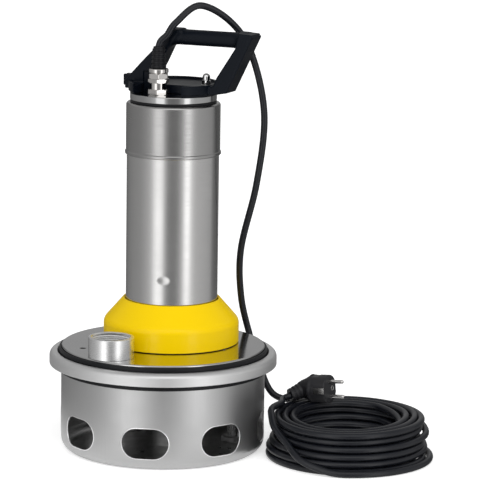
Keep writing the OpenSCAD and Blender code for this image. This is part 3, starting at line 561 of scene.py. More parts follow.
def strainer_can():
    first = 15.0 - SECTOR / 2
    inner = CAN_R - CAN_WALL
    corner_x = CAN_R - CAN_CORNER
    lift = CAN_CORNER - PATCH_LOW
    outside_end = -math.degrees(math.asin(lift / CAN_CORNER))
    inside_end = -math.degrees(math.asin(lift / (CAN_CORNER - CAN_WALL)))
    outside_low = [(0, 0), (60, 0), (100, 0)] + arc(corner_x, CAN_CORNER, CAN_CORNER, -90, outside_end, 12)
    inside_low = [(0, CAN_WALL), (60, CAN_WALL), (100, CAN_WALL)]
    inside_low += arc(corner_x, CAN_CORNER, CAN_CORNER - CAN_WALL, -90, inside_end, 12)
    top = FLANGE_LOW + CAN_WALL
    upper = [(CAN_R, PATCH_HIGH), (CAN_R, 80), (CAN_R, 105), (CAN_R, FLANGE_LOW - 2.0)]
    upper += arc(CAN_R + 2.0, FLANGE_LOW - 2.0, 2.0, 180, 90, 5)
    upper += arc(FLANGE_R - 0.75, FLANGE_LOW + 0.75, 0.75, -90, 90, 6)
    upper += arc(inner + 3.5, top - 3.5, 3.5, 90, 180, 6)
    upper += [(inner, 105), (inner, 80), (inner, PATCH_HIGH)]
    points = []
    faces = []
    bright = []

    def add(part, shade=0):
        base = len(points)
        points.extend(part[0])
        faces.extend(tuple(base + i for i in f) for f in part[1])
        bright.extend(part[2] if len(part) > 2 else [shade] * len(part[1]))

    add(open_turned(outside_low, first))
    # mark 2, here and on the flange's inner side below, gives the darker steel of painted shade
    add(open_turned(inside_low, first), 2)
    add(open_turned(upper[:-4], first))
    add(open_turned(upper[-5:], first), 2)
    for i in range(COPIES):
        add(slot_patch(15.0 + i * SECTOR))
    obj = piece("strainer_can", points, faces, "satin_steel", ["strainer_can"], 40.0)
    shade_can(obj, bright)
    weld(obj, 0.02)
    pockets = []
    for angle in STAY_ANGLES:
        x = MOTOR[0] + STAY_CIRCLE * math.cos(math.radians(angle))
        y = MOTOR[1] + STAY_CIRCLE * math.sin(math.radians(angle))
        pockets.append((x, y))
    cut(obj, [post(x, y, 13.2, -1, 3) for x, y in pockets])
    for i, (x, y) in enumerate(pockets):
        corners = [(4.5, 7, 0.2), (12.5, 7, 1.2), (12.5, 1.2, 0.9), (13.3, 0.0, 0), (14.6, 0.0, 0),
                   (14.6, 1.5, 0), (14.0, 2.4, 0.6), (14.0, 8.5, 1.6), (4.5, 8.5, 0.2)]
        weld(piece(f"pocket_{i + 1}", *turned(rounded(corners, 4), (x, y), 64), "satin_steel"))
    marks = [face.material_index for face in obj.data.polygons]
    dress(obj, "satin_steel", 40.0)
    shade_can(obj, marks)


strainer_can()

turned_piece("rim_ring", [
    (143.3, 110.0, 0.6), (143.3, 126.0, 6.4), (133.2, 126.0, 1.0), (132.0, 122.4, 0.6),
    (133.4, 122.2, 0.5), (134.2, 124.5, 0.5), (142.0, 124.6, 5.2), (142.0, 110.0, 0.6),
], "satin_steel", ["rim_ring"], (0, 0), look="ring_steel")

turned_piece("rim_gasket", [
    (128.1, 119.6, 0.3), (131.9, 119.6, 0.3), (131.9, 123.4, 1.7), (131.3, 123.8, 0.1), (131.2, 131.1, 1.5),
    (128.1, 131.1, 1.5),
], "black_rubber", ["rim_gasket"], (0, 0))

# A black rubber band round the can just under the rim ring: a seal, and also painted shade that stands for
# the dark shadow line under the ring.
turned_piece("skirt_seal", [
    (128.6, 102.55, 0.2), (132.5, 102.55, 1.4), (132.5, 117.9, 0.3), (128.6, 117.9, 0.3),
], "black_rubber", ["skirt_seal"], (0, 0))

plate = turned_piece("cover_plate", [
    (20.0, 130.5, 0), (125.0, 130.5, 0.3), (125.0, 119.8, 0.3), (128.0, 119.8, 0.5),
    (128.0, 133.5, 1.7), (20.0, 133.5, 0),
], "plate_steel", ["cover_plate"], (0, 0))
cut(plate, [
    post(*SOCKET, 20.5, 129, 133.6),
    post(-78.5, -69.4, 4.0, 129, 133.5, 0.5),
    post(84.5, 0.9, 2.0, 129, 133.5, 0.4),
    post(*MOTOR, 40.2, 129, 135, 0, 96),
])
dress(plate, "plate_steel", 32.0)

turned_piece("outlet_socket", [
    (23.95, 133.55, 0.2), (28.4, 133.55, 0.35), (28.4, 159.0, 0.8), (25.1, 159.0, 0.25), (23.95, 157.9, 0.2),
], "machined_steel", ["outlet_socket"], SOCKET, 128)


def pipe_thread():
    """The socket's female thread: one helical ridge that starts and ends in the bore's wall."""
    pitch = 2.309
    root = 23.9
    crest = 22.55
    per_turn = 96
    turns = 9
    total = per_turn * turns
    points = []
    for i in range(total + 1):
        a = i * TAU / per_turn
        z = 135.2 + pitch * i / per_turn
        grow = min(1.0, i / 24, (total - i) / 24)
        tip = root - (root - crest) * grow
        for r, dz in ((root + 0.1, -1.1), (tip, -0.22), (tip, 0.22), (root + 0.1, 1.1)):
            points.append((SOCKET[0] + r * math.cos(a), SOCKET[1] + r * math.sin(a), z + dz))
    faces = quads(total + 1, 4, loop=False)
    faces += [(0, 1, 2, 3), (total * 4 + 3, total * 4 + 2, total * 4 + 1, total * 4)]
    weld(piece("outlet_thread", points, faces, "machined_steel", look="thread_steel"))


pipe_thread()

# ------------------------------------------------------------------ yellow oil housing and motor

turned_piece("collar_gasket", [
    (70, 133.55, 0), (84.4, 133.55, 0.2), (84.4, 134.25, 0.2), (70, 134.25, 0),
], "black_rubber", ["collar_gasket"])


def housing_outline():
    slope = 41.2
    shoulder = 13.0
    lip = 1.6
    lip_x = 60.6
    lip_z = 189.6 - lip
    out = rounded([(50.0, 144.3, 0.4), (50.0, 134.3, 0), (85.6, 134.3, 0.9), (85.6, 140.0, 0)], 4)
    out += arc(85.6 - shoulder, 157.0, shoulder, 0, slope, 14)
    out += arc(lip_x, lip_z, lip, slope, 175, 8)
    out += [(58.15, 186.0), (58.15, 150.1), (50.2, 150.0)]
    return out


weld(piece("oil_housing", *turned(housing_outline()), "yellow_paint", ["oil_housing"]))
turned_piece("oil_chamber", [
    (12.5, 138.1, 0.3), (17.1, 138.1, 0), (17.1, 130.0, 0), (19.0, 130.0, 0), (19.0, 122.4, 0.3),
    (39.9, 122.4, 0.6), (39.9, 134.3, 0.4), (50.3, 134.3, 0), (50.3, 144.3, 0.3), (12.5, 144.3, 0.3),
], "yellow_paint")

TUBE_R = 58.0
DIMPLES = (-76.0, 44.0, 164.0)
DIMPLE_Z = 221.0
DIMPLE_WIDE = 9.5             # half of its width and of its height
DIMPLE_TALL = 6.2


def motor_tube():
    """The tube as one closed skin, with a finer grid where the three dimples are pressed in."""
    angles = set(np.round(np.arange(0.0, 360.0, 2.0), 3))
    for d in DIMPLES:
        angles |= set(np.round(np.arange(d - 9.8, d + 9.9, 0.35) % 360, 3))
    angles = sorted(angles)
    heights = [150.05] + list(np.arange(160.0, 212.0, 10.0)) + list(np.arange(213.0, 229.1, 0.45))
    heights += list(np.arange(235.0, 390.0, 15.0)) + [392.0]
    rows = [(TUBE_R - 1.5, z) for z in reversed(heights)] + [(TUBE_R, z) for z in heights]
    points = []
    for deg in angles:
        a = math.radians(deg)
        for r, z in rows:
            press = 0.0
            for d in DIMPLES:
                across = math.radians((deg - d + 180) % 360 - 180) * TUBE_R
                away = math.hypot(across / DIMPLE_WIDE, (z - DIMPLE_Z) / DIMPLE_TALL)
                press = max(press, 1.05 * max(0.0, 1 - away ** 2) ** 1.7)
            points.append((MOTOR[0] + (r - press) * math.cos(a), MOTOR[1] + (r - press) * math.sin(a), z))
    weld(piece("motor_tube", points, quads(len(angles), len(rows)), "brushed_tube", ["motor_tube"]))


motor_tube()

turned_piece("head_sleeve", [
    (58.05, 373.0, 0.3), (60.3, 373.0, 1.6), (60.3, 377.0, 1.6), (59.2, 377.9, 0.5),
    (59.2, 438.5, 3.6), (50.3, 438.5, 0.4), (50.3, 437.3, 0.2), (58.05, 437.3, 2.6),
], "brushed_tube", ["head_sleeve"], look="sleeve_steel")

turned_piece("lid_seal", [
    (51.0, 438.55, 0), (54.1, 438.55, 0.9), (54.1, 441.45, 0.9), (51.0, 441.45, 0),
], "black_rubber", ["lid_seal"])

lid = turned_piece("lid", [
    (46, 443, 1.0), (46, 430, 0.4), (50, 430, 0.6), (50, 441.5, 0), (54.5, 441.5, 1.2), (54.5, 450, 1.2),
    (8, 450, 0), (8, 443, 0),
], "polished_steel", ["lid"])
cut(lid, [
    post(MOTOR[0] - 44.6, MOTOR[1], 3.4, 429, 451),
    post(MOTOR[0] + 44.6, MOTOR[1], 3.4, 429, 451),
    post(*GLAND, 10.0, 429, 451),
])
dress(lid, "polished_steel", 32.0)

# ------------------------------------------------------------------ solids from distance functions


def smooth_min(a, b, k):
    h = np.clip(0.5 + 0.5 * (b - a) / k, 0.0, 1.0)
    return b + (a - b) * h - k * h * (1 - h)


def smooth_max(a, b, k):
    return -smooth_min(-a, -b, k)


def outline_distance(x, y, outline):
    """Signed distance in a plane from a closed outline, negative inside."""
    best = np.full(x.shape, 1e9)
    inside = np.zeros(x.shape, bool)
    for (ax, ay), (bx, by) in zip(outline, outline[1:] + outline[:1]):
        ex = bx - ax
        ey = by - ay
        t = np.clip(((x - ax) * ex + (y - ay) * ey) / (ex * ex + ey * ey), 0.0, 1.0)
        best = np.minimum(best, (x - ax - t * ex) ** 2 + (y - ay - t * ey) ** 2)
        if ay != by:
            crosses = (ay > y) != (by > y)
            inside ^= crosses & (x < ax + (y - ay) * ex / ey)
    return np.where(inside, -1.0, 1.0) * np.sqrt(best)


def extruded(flat, across, half, edge):
    """A flat distance drawn out to half on both sides, with its edges rounded."""
    a = flat + edge
    b = np.abs(across) - half + edge
    return np.minimum(np.maximum(a, b), 0.0) + np.hypot(np.maximum(a, 0), np.maximum(b, 0)) - edge


def block(p, low, high, edge):
    middle = (np.array(low, float) + np.array(high, float)) / 2
    half = (np.array(high, float) - np.array(low, float)) / 2
    q = np.abs(p - middle) - half + edge
    return np.minimum(q.max(axis=1), 0.0) + np.linalg.norm(np.maximum(q, 0.0), axis=1) - edge


def net(distance, low, high, cell):
    """Points and faces of the surface where distance is nought, set onto it by a few steps."""
    axes = [np.arange(low[i], high[i] + cell, cell) for i in range(3)]
    size = [len(a) for a in axes]
    field = np.empty(size, np.float32)
    yy, zz = np.meshgrid(axes[1], axes[2], indexing="ij")
    for i, x in enumerate(axes[0]):
        plane = np.column_stack([np.full(yy.size, x), yy.ravel(), zz.ravel()])
        field[i] = distance(plane).reshape(yy.shape)
    solid = field < 0
    corners = [(i, j, k) for i in (0, 1) for j in (0, 1) for k in (0, 1)]
    trim = tuple(s - 1 for s in size)
    part = [solid[i:i + trim[0], j:j + trim[1], k:k + trim[2]] for i, j, k in corners]
    count = np.sum(part, axis=0)
    cells = np.argwhere((count > 0) & (count < 8))
    index = np.full(trim, -1, np.int64)
    index[tuple(cells.T)] = np.arange(len(cells))
    values = np.column_stack([field[tuple((cells + c).T)] for c in np.array(corners)])
    total = np.zeros((len(cells), 3))
    hits = np.zeros(len(cells))
    for a in range(8):
        for b in range(a + 1, 8):
            ca = np.array(corners[a])
            cb = np.array(corners[b])
            if np.abs(ca - cb).sum() != 1:
                continue
            va = values[:, a]
            vb = values[:, b]
            mask = (va < 0) != (vb < 0)
            t = np.where(mask, va / np.where(mask, va - vb, 1.0), 0.0)
            total += np.where(mask[:, None], ca + t[:, None] * (cb - ca), 0.0)
            hits += mask
    points = np.array([axes[0][0], axes[1][0], axes[2][0]]) + cell * (cells + total / hits[:, None])
    faces = []
    for axis in range(3):
        u = (axis + 1) % 3
        v = (axis + 2) % 3
        here = [slice(None)] * 3
        ahead = [slice(None)] * 3
        here[axis] = slice(0, -1)
        ahead[axis] = slice(1, None)
        change = solid[tuple(here)] != solid[tuple(ahead)]
        for edge in np.argwhere(change):
            if edge[u] == 0 or edge[v] == 0 or edge[u] >= size[u] - 1 or edge[v] >= size[v] - 1:
                continue
            ring = []
            for du, dv in ((0, 0), (-1, 0), (-1, -1), (0, -1)):
                cell_at = edge.copy()
                cell_at[u] += du
                cell_at[v] += dv
                ring.append(int(index[tuple(cell_at)]))
            faces.append(tuple(ring) if solid[tuple(edge)] else tuple(ring[::-1]))
    step = cell * 0.02
    for _ in range(3):
        f = distance(points)
        slope = np.column_stack([(distance(points + step * np.eye(3)[i]) - f) / step for i in range(3)])
        size2 = np.maximum((slope ** 2).sum(axis=1), 0.2)
        points = points - np.clip(f / size2, -cell * 0.5, cell * 0.5)[:, None] * slope
    return points, faces


# ------------------------------------------------------------------ handle

GRIP_Z = 520.3
GRIP_R = 9.8
LEG_DEPTH = 30.0
CAP_R = 56.5
CAP_TOP = 464.0
DISH = 3.0
STUD_X = 44.6
LEG_TOP = GRIP_Z + GRIP_R
LEFT_LEG = [(-60.4, 464), (-51.2, 473.9), (-11.5, 516.4), (1.5, LEG_TOP), (12, LEG_TOP), (-1.2, 509.1),
            (-17.3, 480.1), (-22, 470), (-22, 460), (-50, 460)]
RIGHT_LEG = [(50, 452.5), (56.5, 451), (78.3, 455.1), (112.1, 525.1), (109.5, LEG_TOP - 1), (93, LEG_TOP),
             (89.2, 511.9), (64.1, 473.5), (60, 464), (53, 460)]


def handle_distance(p):
    x = p[:, 0] - MOTOR[0]
    y = p[:, 1] - MOTOR[1]
    z = p[:, 2]
    r = np.hypot(x, y)
    cap = extruded(r - CAP_R, z - (450.05 + CAP_TOP) / 2, (CAP_TOP - 450.05) / 2, 1.4)
    step = extruded(r - CAP_R + 2, z - 452.5, 2.45, 0.5)
    waist = np.maximum(cap, np.where(z < 453, r - CAP_R + 2, -10.0))
    cap = np.minimum(smooth_max(cap, 453 - z, 0.6), np.minimum(step, waist + 0.01))
    dish = extruded(r - CAP_R + 4.5, z - CAP_TOP - 5, 5 + DISH, 1.0)
    cap = smooth_max(cap, -dish, 0.8)
    left_half = LEG_DEPTH / 2 - (LEG_DEPTH / 2 - GRIP_R - 0.6) * np.clip((z - 488.0) / 26.0, 0.0, 1.0)
    legs = smooth_min(extruded(outline_distance(x, z, LEFT_LEG), y, left_half, 1.8),
                      extruded(outline_distance(x, z, RIGHT_LEG), y, LEG_DEPTH / 2, 1.8), 0.5)
    grip = np.maximum(np.hypot(y, z - GRIP_Z) - GRIP_R, np.maximum(-x, x - 100))
    tab = block(np.column_stack([x, y, z]), (-66.4, -7, 456), (-47, 7, 470), 0.9)
    gap = block(np.column_stack([x, y, z]), (-70, -2.6, 461.5), (-60.5, 2.6, 472), 0.6)
    tab = smooth_max(tab, -gap, 0.5)
    heel = block(np.column_stack([x, y, z]), (-62, -12, 453), (-48, 12, 464), 1.2)
    body = smooth_min(cap, smooth_min(legs, grip, 7.0), 2.5)
    body = smooth_min(body, smooth_min(tab, heel, 2.0), 1.5)
    notch = extruded(np.maximum(np.abs(x + 2) - 33, y + 13), z - 460, 16, 0.1)
    body = smooth_max(body, -notch, 1.2)
    for side in (-1, 1):
        body = np.maximum(body, 3.4 - np.hypot(x - side * STUD_X, y) - np.where(z > CAP_TOP + 1, 99, 0))
    well = np.maximum(np.hypot(x + STUD_X, y) - 8.2, CAP_TOP - DISH - z)
    return smooth_max(body, -well, 0.8)


FINE = 0.85
handle_low = (MOTOR[0] - 72, MOTOR[1] - 59, 448.5)
handle_high = (MOTOR[0] + 116, MOTOR[1] + 59, 533)
points, faces = net(handle_distance, handle_low, handle_high, FINE)
piece("carry_handle", points, faces, "handle_plastic", ["carry_handle"], 50.0)


def acorn(i, x):
    low = CAP_TOP - DISH + 1.6
    corners = [(3.05, low, 0), (5.1, low, 0.15), (5.9, low + 0.7, 0.1), (5.9, low + 5.4, 0.1),
               (4.85, low + 6.1, 0.15), (4.8, low + 9.5, 0)]
    outline = rounded(corners[:-1], 3) + arc(0, low + 9.5, 4.8, 0, 89.5, 12)
    outline += [(0.0, low + 14.3), (0.0, low + 10.5), (3.05, low + 10.5)]
    pts, fcs = turned(outline, (MOTOR[0] + x, MOTOR[1]), 96, flats(10.0, 10.0))
    weld(piece(f"acorn_nut_{i}", pts, fcs, "bright_nut", ["acorn_nuts"], 28.0))


for i, x in enumerate((-STUD_X, STUD_X), 1):
    acorn(i, x)
    floor_z = CAP_TOP - DISH + 0.05
    turned_piece(f"stud_washer_{i}", [
        (3.2, floor_z, 0.1), (6.2, floor_z, 0.3), (6.2, floor_z + 1.5, 0.3), (3.2, floor_z + 1.5, 0.1),
    ], "fastener_steel", ["stud_washers"], (MOTOR[0] + x, MOTOR[1]), 64)

# ------------------------------------------------------------------ cable gland

def gland_flats(r, z, a):
    if z < 457.05 or 464.9 < z < 470.01:
        return flats(24.0, 12.0)(r, z, a)
    return r


turned_piece("gland_body", [
    (4.7, 440, 0.3), (9.9, 440, 0.8), (9.9, 450.05, 0), (12.6, 450.05, 0.2), (13.7, 450.9, 0.2),
    (13.7, 456.1, 0.2), (12.6, 457.0, 0.2), (10.9, 457.01, 0), (10.9, 464.9, 0), (12.6, 465.0, 0.2),
    (13.7, 465.8, 0.2), (13.7, 469.2, 0.2), (12.6, 470.0, 0.2), (8.4, 470.0, 0.2), (8.4, 477.0, 0.4),
    (4.7, 477.0, 0.3),
], "nickel_plate", ["gland_body"], GLAND, 120, gland_flats, 26.0)


def nut_flats(r, z, a):
    return flats(23.0, 22.0)(r, z, a) if z < 476.6 else r


turned_piece("gland_nut", [
    (8.5, 470.1, 0.2), (12.2, 470.1, 0.2), (13.1, 470.9, 0.2), (13.1, 475.7, 0.2), (12.0, 476.5, 0.2),
    (10.6, 476.8, 0), (10.6, 477.3, 0.2), (12.35, 477.7, 0.5), (12.35, 482.45, 0.9), (4.7, 482.45, 0.3),
    (4.7, 480.1, 0.2), (8.5, 480.0, 0.2),
], "nickel_plate", ["gland_nut"], GLAND, 120, nut_flats, 26.0)


def boot_corners():
    low = 482.6
    top = 510.0
    corners = [(4.45, top, 0.5), (4.45, low, 0.3), (8.8, low, 0.3)]
    ribs = 5
    for i in range(ribs):
        z = low + 0.9 + i * 5.2
        waist = 8.7 - 1.8 * (z - low) / (top - low)
        crest = 9.5 - 0.35 * i
        corners += [(waist, z, 0.3), (crest, z + 0.3, 0.8), (crest - 0.2, z + 3.0, 0.9)]
        corners.append((waist - 0.35, z + 3.4, 0.4))
    return corners + [(7.0, top - 1.5, 0.5), (6.8, top, 0.9)]


turned_piece("cable_boot", boot_corners()[::-1], "black_rubber", ["cable_boot"], GLAND, 96)

# ------------------------------------------------------------------ cable

CABLE_D = 8.6
COIL = (227.0, 67.5)
COIL_R = 95.0
LAYERS = 6
COLUMNS = 3
TURNS = LAYERS * COLUMNS
COLUMN_PITCH = 11.0
LAYER_PITCH = CABLE_D + 0.05
SHIFT_ANGLE = 85.0
SHIFT_SPAN = 90.0
LEAD_ANGLE = 115.0
END_ANGLE = SHIFT_ANGLE - 360 * TURNS - 155
CLIMB = 104.0
TAIL_ROOT = np.array([151.3, 106.3, 69.3])
TAIL_END = np.array([137.2, 89.8, 61.7])
TAIL_WAY = (TAIL_ROOT - TAIL_END) / np.linalg.norm(TAIL_ROOT - TAIL_END)


def ease(s):
    u = max(0.0, min(1.0, s))
    return u * u * (3 - 2 * u)


def layer_of(k):
    return LAYERS - 1 - k // COLUMNS


def column_of(k):
    within = k % COLUMNS
    return within if (k // COLUMNS) % 2 == 0 else COLUMNS - 1 - within


def turn_r(k):
    return COIL_R + CABLE_D + 0.2 if k >= TURNS else COIL_R - COLUMN_PITCH * column_of(k)


def turn_z(k):
    return CABLE_D / 2 + 0.1 + LAYER_PITCH * layer_of(min(k, TURNS - 1))


def coil_point(angle, r, z):
    """Each layer lies a little off the one below, and the stack leans as the cable sags."""
    a = math.radians(angle)
    level = (z - CABLE_D / 2) / LAYER_PITCH
    off = 1.9 * np.array([math.cos(2.1 * level + 0.6), math.sin(1.7 * level + 2.0)]) * min(1.0, level)
    spread = max(0.0, 1 - level / 4)
    off[1] -= 9.0 * spread
    rr = r + 3.0 * spread + 4.0 * (1 - spread) * math.cos(math.radians(2 * (angle - 113.0)))
    lean = 1.02 + 0.02 * math.sin(2 * a + 1.9)
    return np.array([COIL[0] + off[0] + rr * math.cos(a), COIL[1] + off[1] + rr * math.sin(a), z * lean])


def wander(angle, k):
    """Hand-wound turns never lie quite true; the outer column only strays inwards."""
    t = math.radians(angle)
    sway = 0.75 * math.sin(0.83 * t + 1.0) + 0.55 * math.sin(1.37 * t + k) + 0.3 * math.sin(3.1 * t + 2.0 * k)
    return 0.6 * (sway - 1) if k >= TURNS or column_of(k) == 0 else sway


def wound(angle):
    if angle > SHIFT_ANGLE:
        return coil_point(angle, turn_r(0), turn_z(0))
    past = SHIFT_ANGLE - angle
    passes = int(past // 360)
    share = (past - 360 * passes) / SHIFT_SPAN
    s = ease(share)
    k = max(0, passes - 1)
    after = max(0, passes)
    r = turn_r(k) + (turn_r(after) - turn_r(k)) * s
    if after > k and after < TURNS and layer_of(k) != layer_of(after):
        r += 3.3 * (1 - (2 * s - 1) ** 10) * (1 if column_of(k) == 0 else -1)
    z = turn_z(k) + (turn_z(after) - turn_z(k)) * s
    if share > 1 and passes < TURNS:
        settled = min(1.0, (share - 1) * 2, (360 / SHIFT_SPAN - share) * 2)
        r += wander(angle, passes) * ease(settled)
    return coil_point(angle, r, z)


def climbing(angle):
    s = ease(angle / 95)
    inward = ease((angle - 83) / 24)
    high = turn_z(0) + CABLE_D + 0.3
    return coil_point(END_ANGLE - angle, turn_r(TURNS) - (CABLE_D + 1.5) * inward,
                      turn_z(TURNS) + (high - turn_z(TURNS)) * s)


def spline(way, steps):
    out = []
    way = [np.array(p, float) for p in way]
    for i in range(1, len(way) - 2):
        a, b, c, d = way[i - 1:i + 3]
        for j in range(steps):
            s = j / steps
            out.append(0.5 * (2 * b + (c - a) * s + (2 * a - 5 * b + 4 * c - d) * s * s
                              + (3 * b - a - 3 * c + d) * s ** 3))
    return out


def cable_path():
    entry = (GLAND[0], GLAND[1])
    hanging = [(*entry, 470), (*entry, 510.3), (1.2, 0.6, 524.5), (10.7, 6.4, 540), (33.8, 25.5, 560.2),
               (66.5, 47.2, 539.5), (87.5, 66, 497.6), (97, 86, 420), (82, 100, 330), (57, 111, 242),
               (51.6, 125.7, 178), (58, 139.5, 126), (73, 137, 88), (98, 131, 50), (138, 145, 44.5),
               wound(LEAD_ANGLE), wound(LEAD_ANGLE - 30)]
    path = [np.array([*entry, 391.2]), np.array([*entry, 450.0])] + spline(hanging, 16)
    fine = 5.0
    path += [wound(LEAD_ANGLE - i * fine) for i in range(int((LEAD_ANGLE - END_ANGLE) / fine) + 1)]
    path += [climbing(a) for a in np.arange(4.0, CLIMB - 4.0, 4.0)]
    inside = [TAIL_END, TAIL_END + 12 * TAIL_WAY]
    lead = [climbing(CLIMB - 15), climbing(CLIMB), TAIL_END - 11 * TAIL_WAY] + inside
    return path + spline(lead, 12) + inside


def swept(path, radius, sides, first=(1.0, 0.0, 0.0)):
    """A round wire along a path, with flat ends; radius may change along it."""
    path = np.array(path)
    ahead = np.vstack([path[1:], path[-1:]]) - np.vstack([path[:1], path[:-1]])
    ahead /= np.linalg.norm(ahead, axis=1)[:, None]
    side = np.array(first, float)
    points = []
    for i, (p, t) in enumerate(zip(path, ahead)):
        side = side - (side @ t) * t
        side /= np.linalg.norm(side)
        other = np.cross(t, side)
        r = radius[i] if np.ndim(radius) else radius
        for k in range(sides):
            a = k * TAU / sides
            points.append(p + r * (math.cos(a) * side + math.sin(a) * other))
    faces = [tuple(range(sides))[::-1], tuple((len(path) - 1) * sides + k for k in range(sides))]
    for i in range(len(path) - 1):
        for k in range(sides):
            m = (k + 1) % sides
            faces.append((i * sides + k, i * sides + m, (i + 1) * sides + m, (i + 1) * sides + k))
    return points, faces


points, faces = swept(cable_path(), CABLE_D / 2, 20)
piece("power_cable", points, faces, "cable_rubber", ["power_cable"], 60.0)

# ------------------------------------------------------------------ plug

PLUG = np.array([169.1, 105.9, 71.0])
PLUG_R = 18.0
EARTH_Y = 6.5
PLUG_TURN = Matrix.Rotation(math.radians(-5.0), 3, "Z")
PLUG_AXES = np.array(PLUG_TURN @ Matrix.Rotation(math.radians(-5.5), 3, "Y"))


def plug_frame(p):
    """World millimetres to the plug's own frame, with +X the way the pins point."""
    return (p - PLUG) @ PLUG_AXES


def plug_world(p):
    return np.array(p, float) @ PLUG_AXES.T + PLUG


def plug_distance(p):
    q = plug_frame(p)
    x = q[:, 0]
    r = np.hypot(q[:, 1], q[:, 2])
    head = extruded(r - PLUG_R, x - 4.5, 12.5, 1.2)
    neck = extruded(r - np.clip(11 + (PLUG_R - 11) * (x + 20) / 12, 9, PLUG_R), x + 12, 8, 2.0)
    body = smooth_min(head, neck, 2.0)
    away = p - TAIL_END
    along = away @ TAIL_WAY
    length = float(np.linalg.norm(TAIL_ROOT - TAIL_END))
    share = np.clip(along / length, 0, 1)
    side = np.linalg.norm(away - np.outer(along, TAIL_WAY), axis=1)
    groove = 0.75 * np.clip(np.cos(TAU * along / 5.2), -0.2, 1.0) * np.clip(along / 3 - 0.4, 0, 1)
    groove = groove * np.clip((length - along) / 4, 0, 1)
    tail = np.maximum(side - (8.6 + 2.2 * share) + groove, np.maximum(-along + 0.2, along - length))
    knuckle = np.linalg.norm(p - TAIL_ROOT, axis=1) - 11.0
    body = smooth_min(body, smooth_min(tail, knuckle, 2.5), 3.0)
    for face in (-1, 1):
        skin = face * (PLUG_R - 0.5)
        recess = block(q, (1, skin - 1.55, -4.5), (21, skin + 1.55, 4.5), 0.5)
        body = smooth_max(body, -recess, 0.4)
        grip = extruded(np.maximum(np.abs(x + 1.5) - 5.5, PLUG_R - 1.4 - face * q[:, 2]), q[:, 1], 8, 0.8)
        body = smooth_max(body, -grip, 0.8)
    hole = np.maximum(np.hypot(q[:, 1] - EARTH_Y, q[:, 2]) - 3.45, 6 - x)
    body = smooth_max(body, -hole, 0.3)
    for face in (-1, 1):
        well = np.maximum(np.hypot(q[:, 1], q[:, 2] - face * 9.5) - 2.42, 4 - x)
        body = np.maximum(body, -well)
    bore = np.maximum(side - CABLE_D / 2 - 0.1, along - 13)
    return np.maximum(body, -bore)


points, faces = net(plug_distance, (126, 80, 48), (190, 129, 93), 0.6)
piece("plug_body", points, faces, "plug_rubber", ["plug_body"], 50.0)


def along_plug(outline, sides, centre):
    """Points of an outline of (radius, x) turned about an axis along the plug, through centre."""
    angles = [k * TAU / sides for k in range(sides)]
    return [(x, centre[0] + r * math.cos(a), centre[1] + r * math.sin(a)) for a in angles for r, x in outline]


def plug_pin(i, z):
    corners = rounded([(0.0, 5.0, 0), (2.3, 5.0, 0.3), (2.4, 6.0, 0), (2.4, 33.0, 0)], 3)
    outline = corners + arc(0.0, 34.6, 2.4, 0, 90, 8)
    sides = 40
    pts = plug_world(along_plug(outline, sides, (0, z)))
    weld(piece(f"plug_pin_{i}", pts, quads(sides, len(outline), ring=False), "pin_brass", ["plug_pins"]))


plug_pin(1, 9.5)
plug_pin(2, -9.5)


def earth_contact(i, side):
    """A sprung strip, bowed slightly outwards along its length."""
    pts = []
    count = 16
    for k in range(count + 1):
        s = k / count
        x = 1.3 + 15.2 * s
        bow = 0.45 * math.sin(math.pi * s)
        for y, z in ((-0.4, -4.0), (-0.4, 4.0), (0.4, 4.0), (0.4, -4.0)):
            pts.append((x, side * (16.55 + bow) + y, z))
    fcs = [(0, 1, 2, 3), (count * 4 + 3, count * 4 + 2, count * 4 + 1, count * 4)]
    fcs += quads(count + 1, 4, loop=False)
    pts = plug_world(pts)
    # the strip's darker brass is painted shade in its recess
    strip = piece(f"earth_contact_{i}", pts, fcs, "pin_brass", ["earth_contacts"], look="strip_brass")
    weld(strip)
    bevel = strip.modifiers.new("edges", "BEVEL")
    bevel.width = 0.2 * MM
    bevel.segments = 2


def earth_socket():
    """The brass sleeve in the plug's face."""
    r = 3.4
    outline = rounded([(r - 1.1, 6.2, 0.1), (r, 6.2, 0.1), (r, 17.25, 0.3), (r - 1.1, 17.25, 0.4)], 3)
    sides = 48
    pts = along_plug(outline, sides, (EARTH_Y, 0))
    weld(piece("earth_socket", plug_world(pts), quads(sides, len(outline)), "pin_brass", ["earth_contacts"]))


earth_contact(1, -1)
earth_contact(2, 1)
earth_socket()

# ------------------------------------------------------------------ CAD nodes that stay in view

KEPT = {
    "cast_grey": ["volute_casing", "suction_cover", "impeller"],
    "cast_aluminium": ["lower_bracket", "upper_bracket", "squirrel_cage"],
    "black_rubber": ["riser_gasket", "housing_oring", "lip_seal", "gland_grommet"],
    "fastener_steel": ["cover_screws", "pump_bolts", "stay_bolts", "stay_spacers", "impeller_nut",
                       "impeller_washer", "tie_studs", "capacitor_clamp"],
    "spring_steel": ["seal_spring", "bearing_circlip", "wave_spring"],
    "seal_carbon": ["seal_face"],
    "seal_ceramic": ["seal_seat"],
    "bearing_steel": ["lower_outer_race", "lower_inner_race", "lower_balls", "upper_outer_race",
                      "upper_inner_race", "upper_balls"],
    "brass_cage": ["lower_cage", "upper_cage"],
    "shaft_steel": ["shaft", "impeller_key"],
    "lamination_steel": ["rotor_core", "stator_core"],
    "copper_winding": ["stator_winding"],
    "capacitor_white": ["run_capacitor"],
    "terminal_plastic": ["terminal_block"],
}
for slot_name, names in KEPT.items():
    for name in names:
        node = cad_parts[name]
        node.data.materials.clear()
        node.data.materials.append(FINISHES[slot_name])

# ------------------------------------------------------------------ stage, light and camera

scene = bpy.context.scene
scene.view_settings.view_transform = "Standard"
VIEW_YAW = 23.3
VIEW_PITCH = 10.42
VIEW_ROLL = 0.82

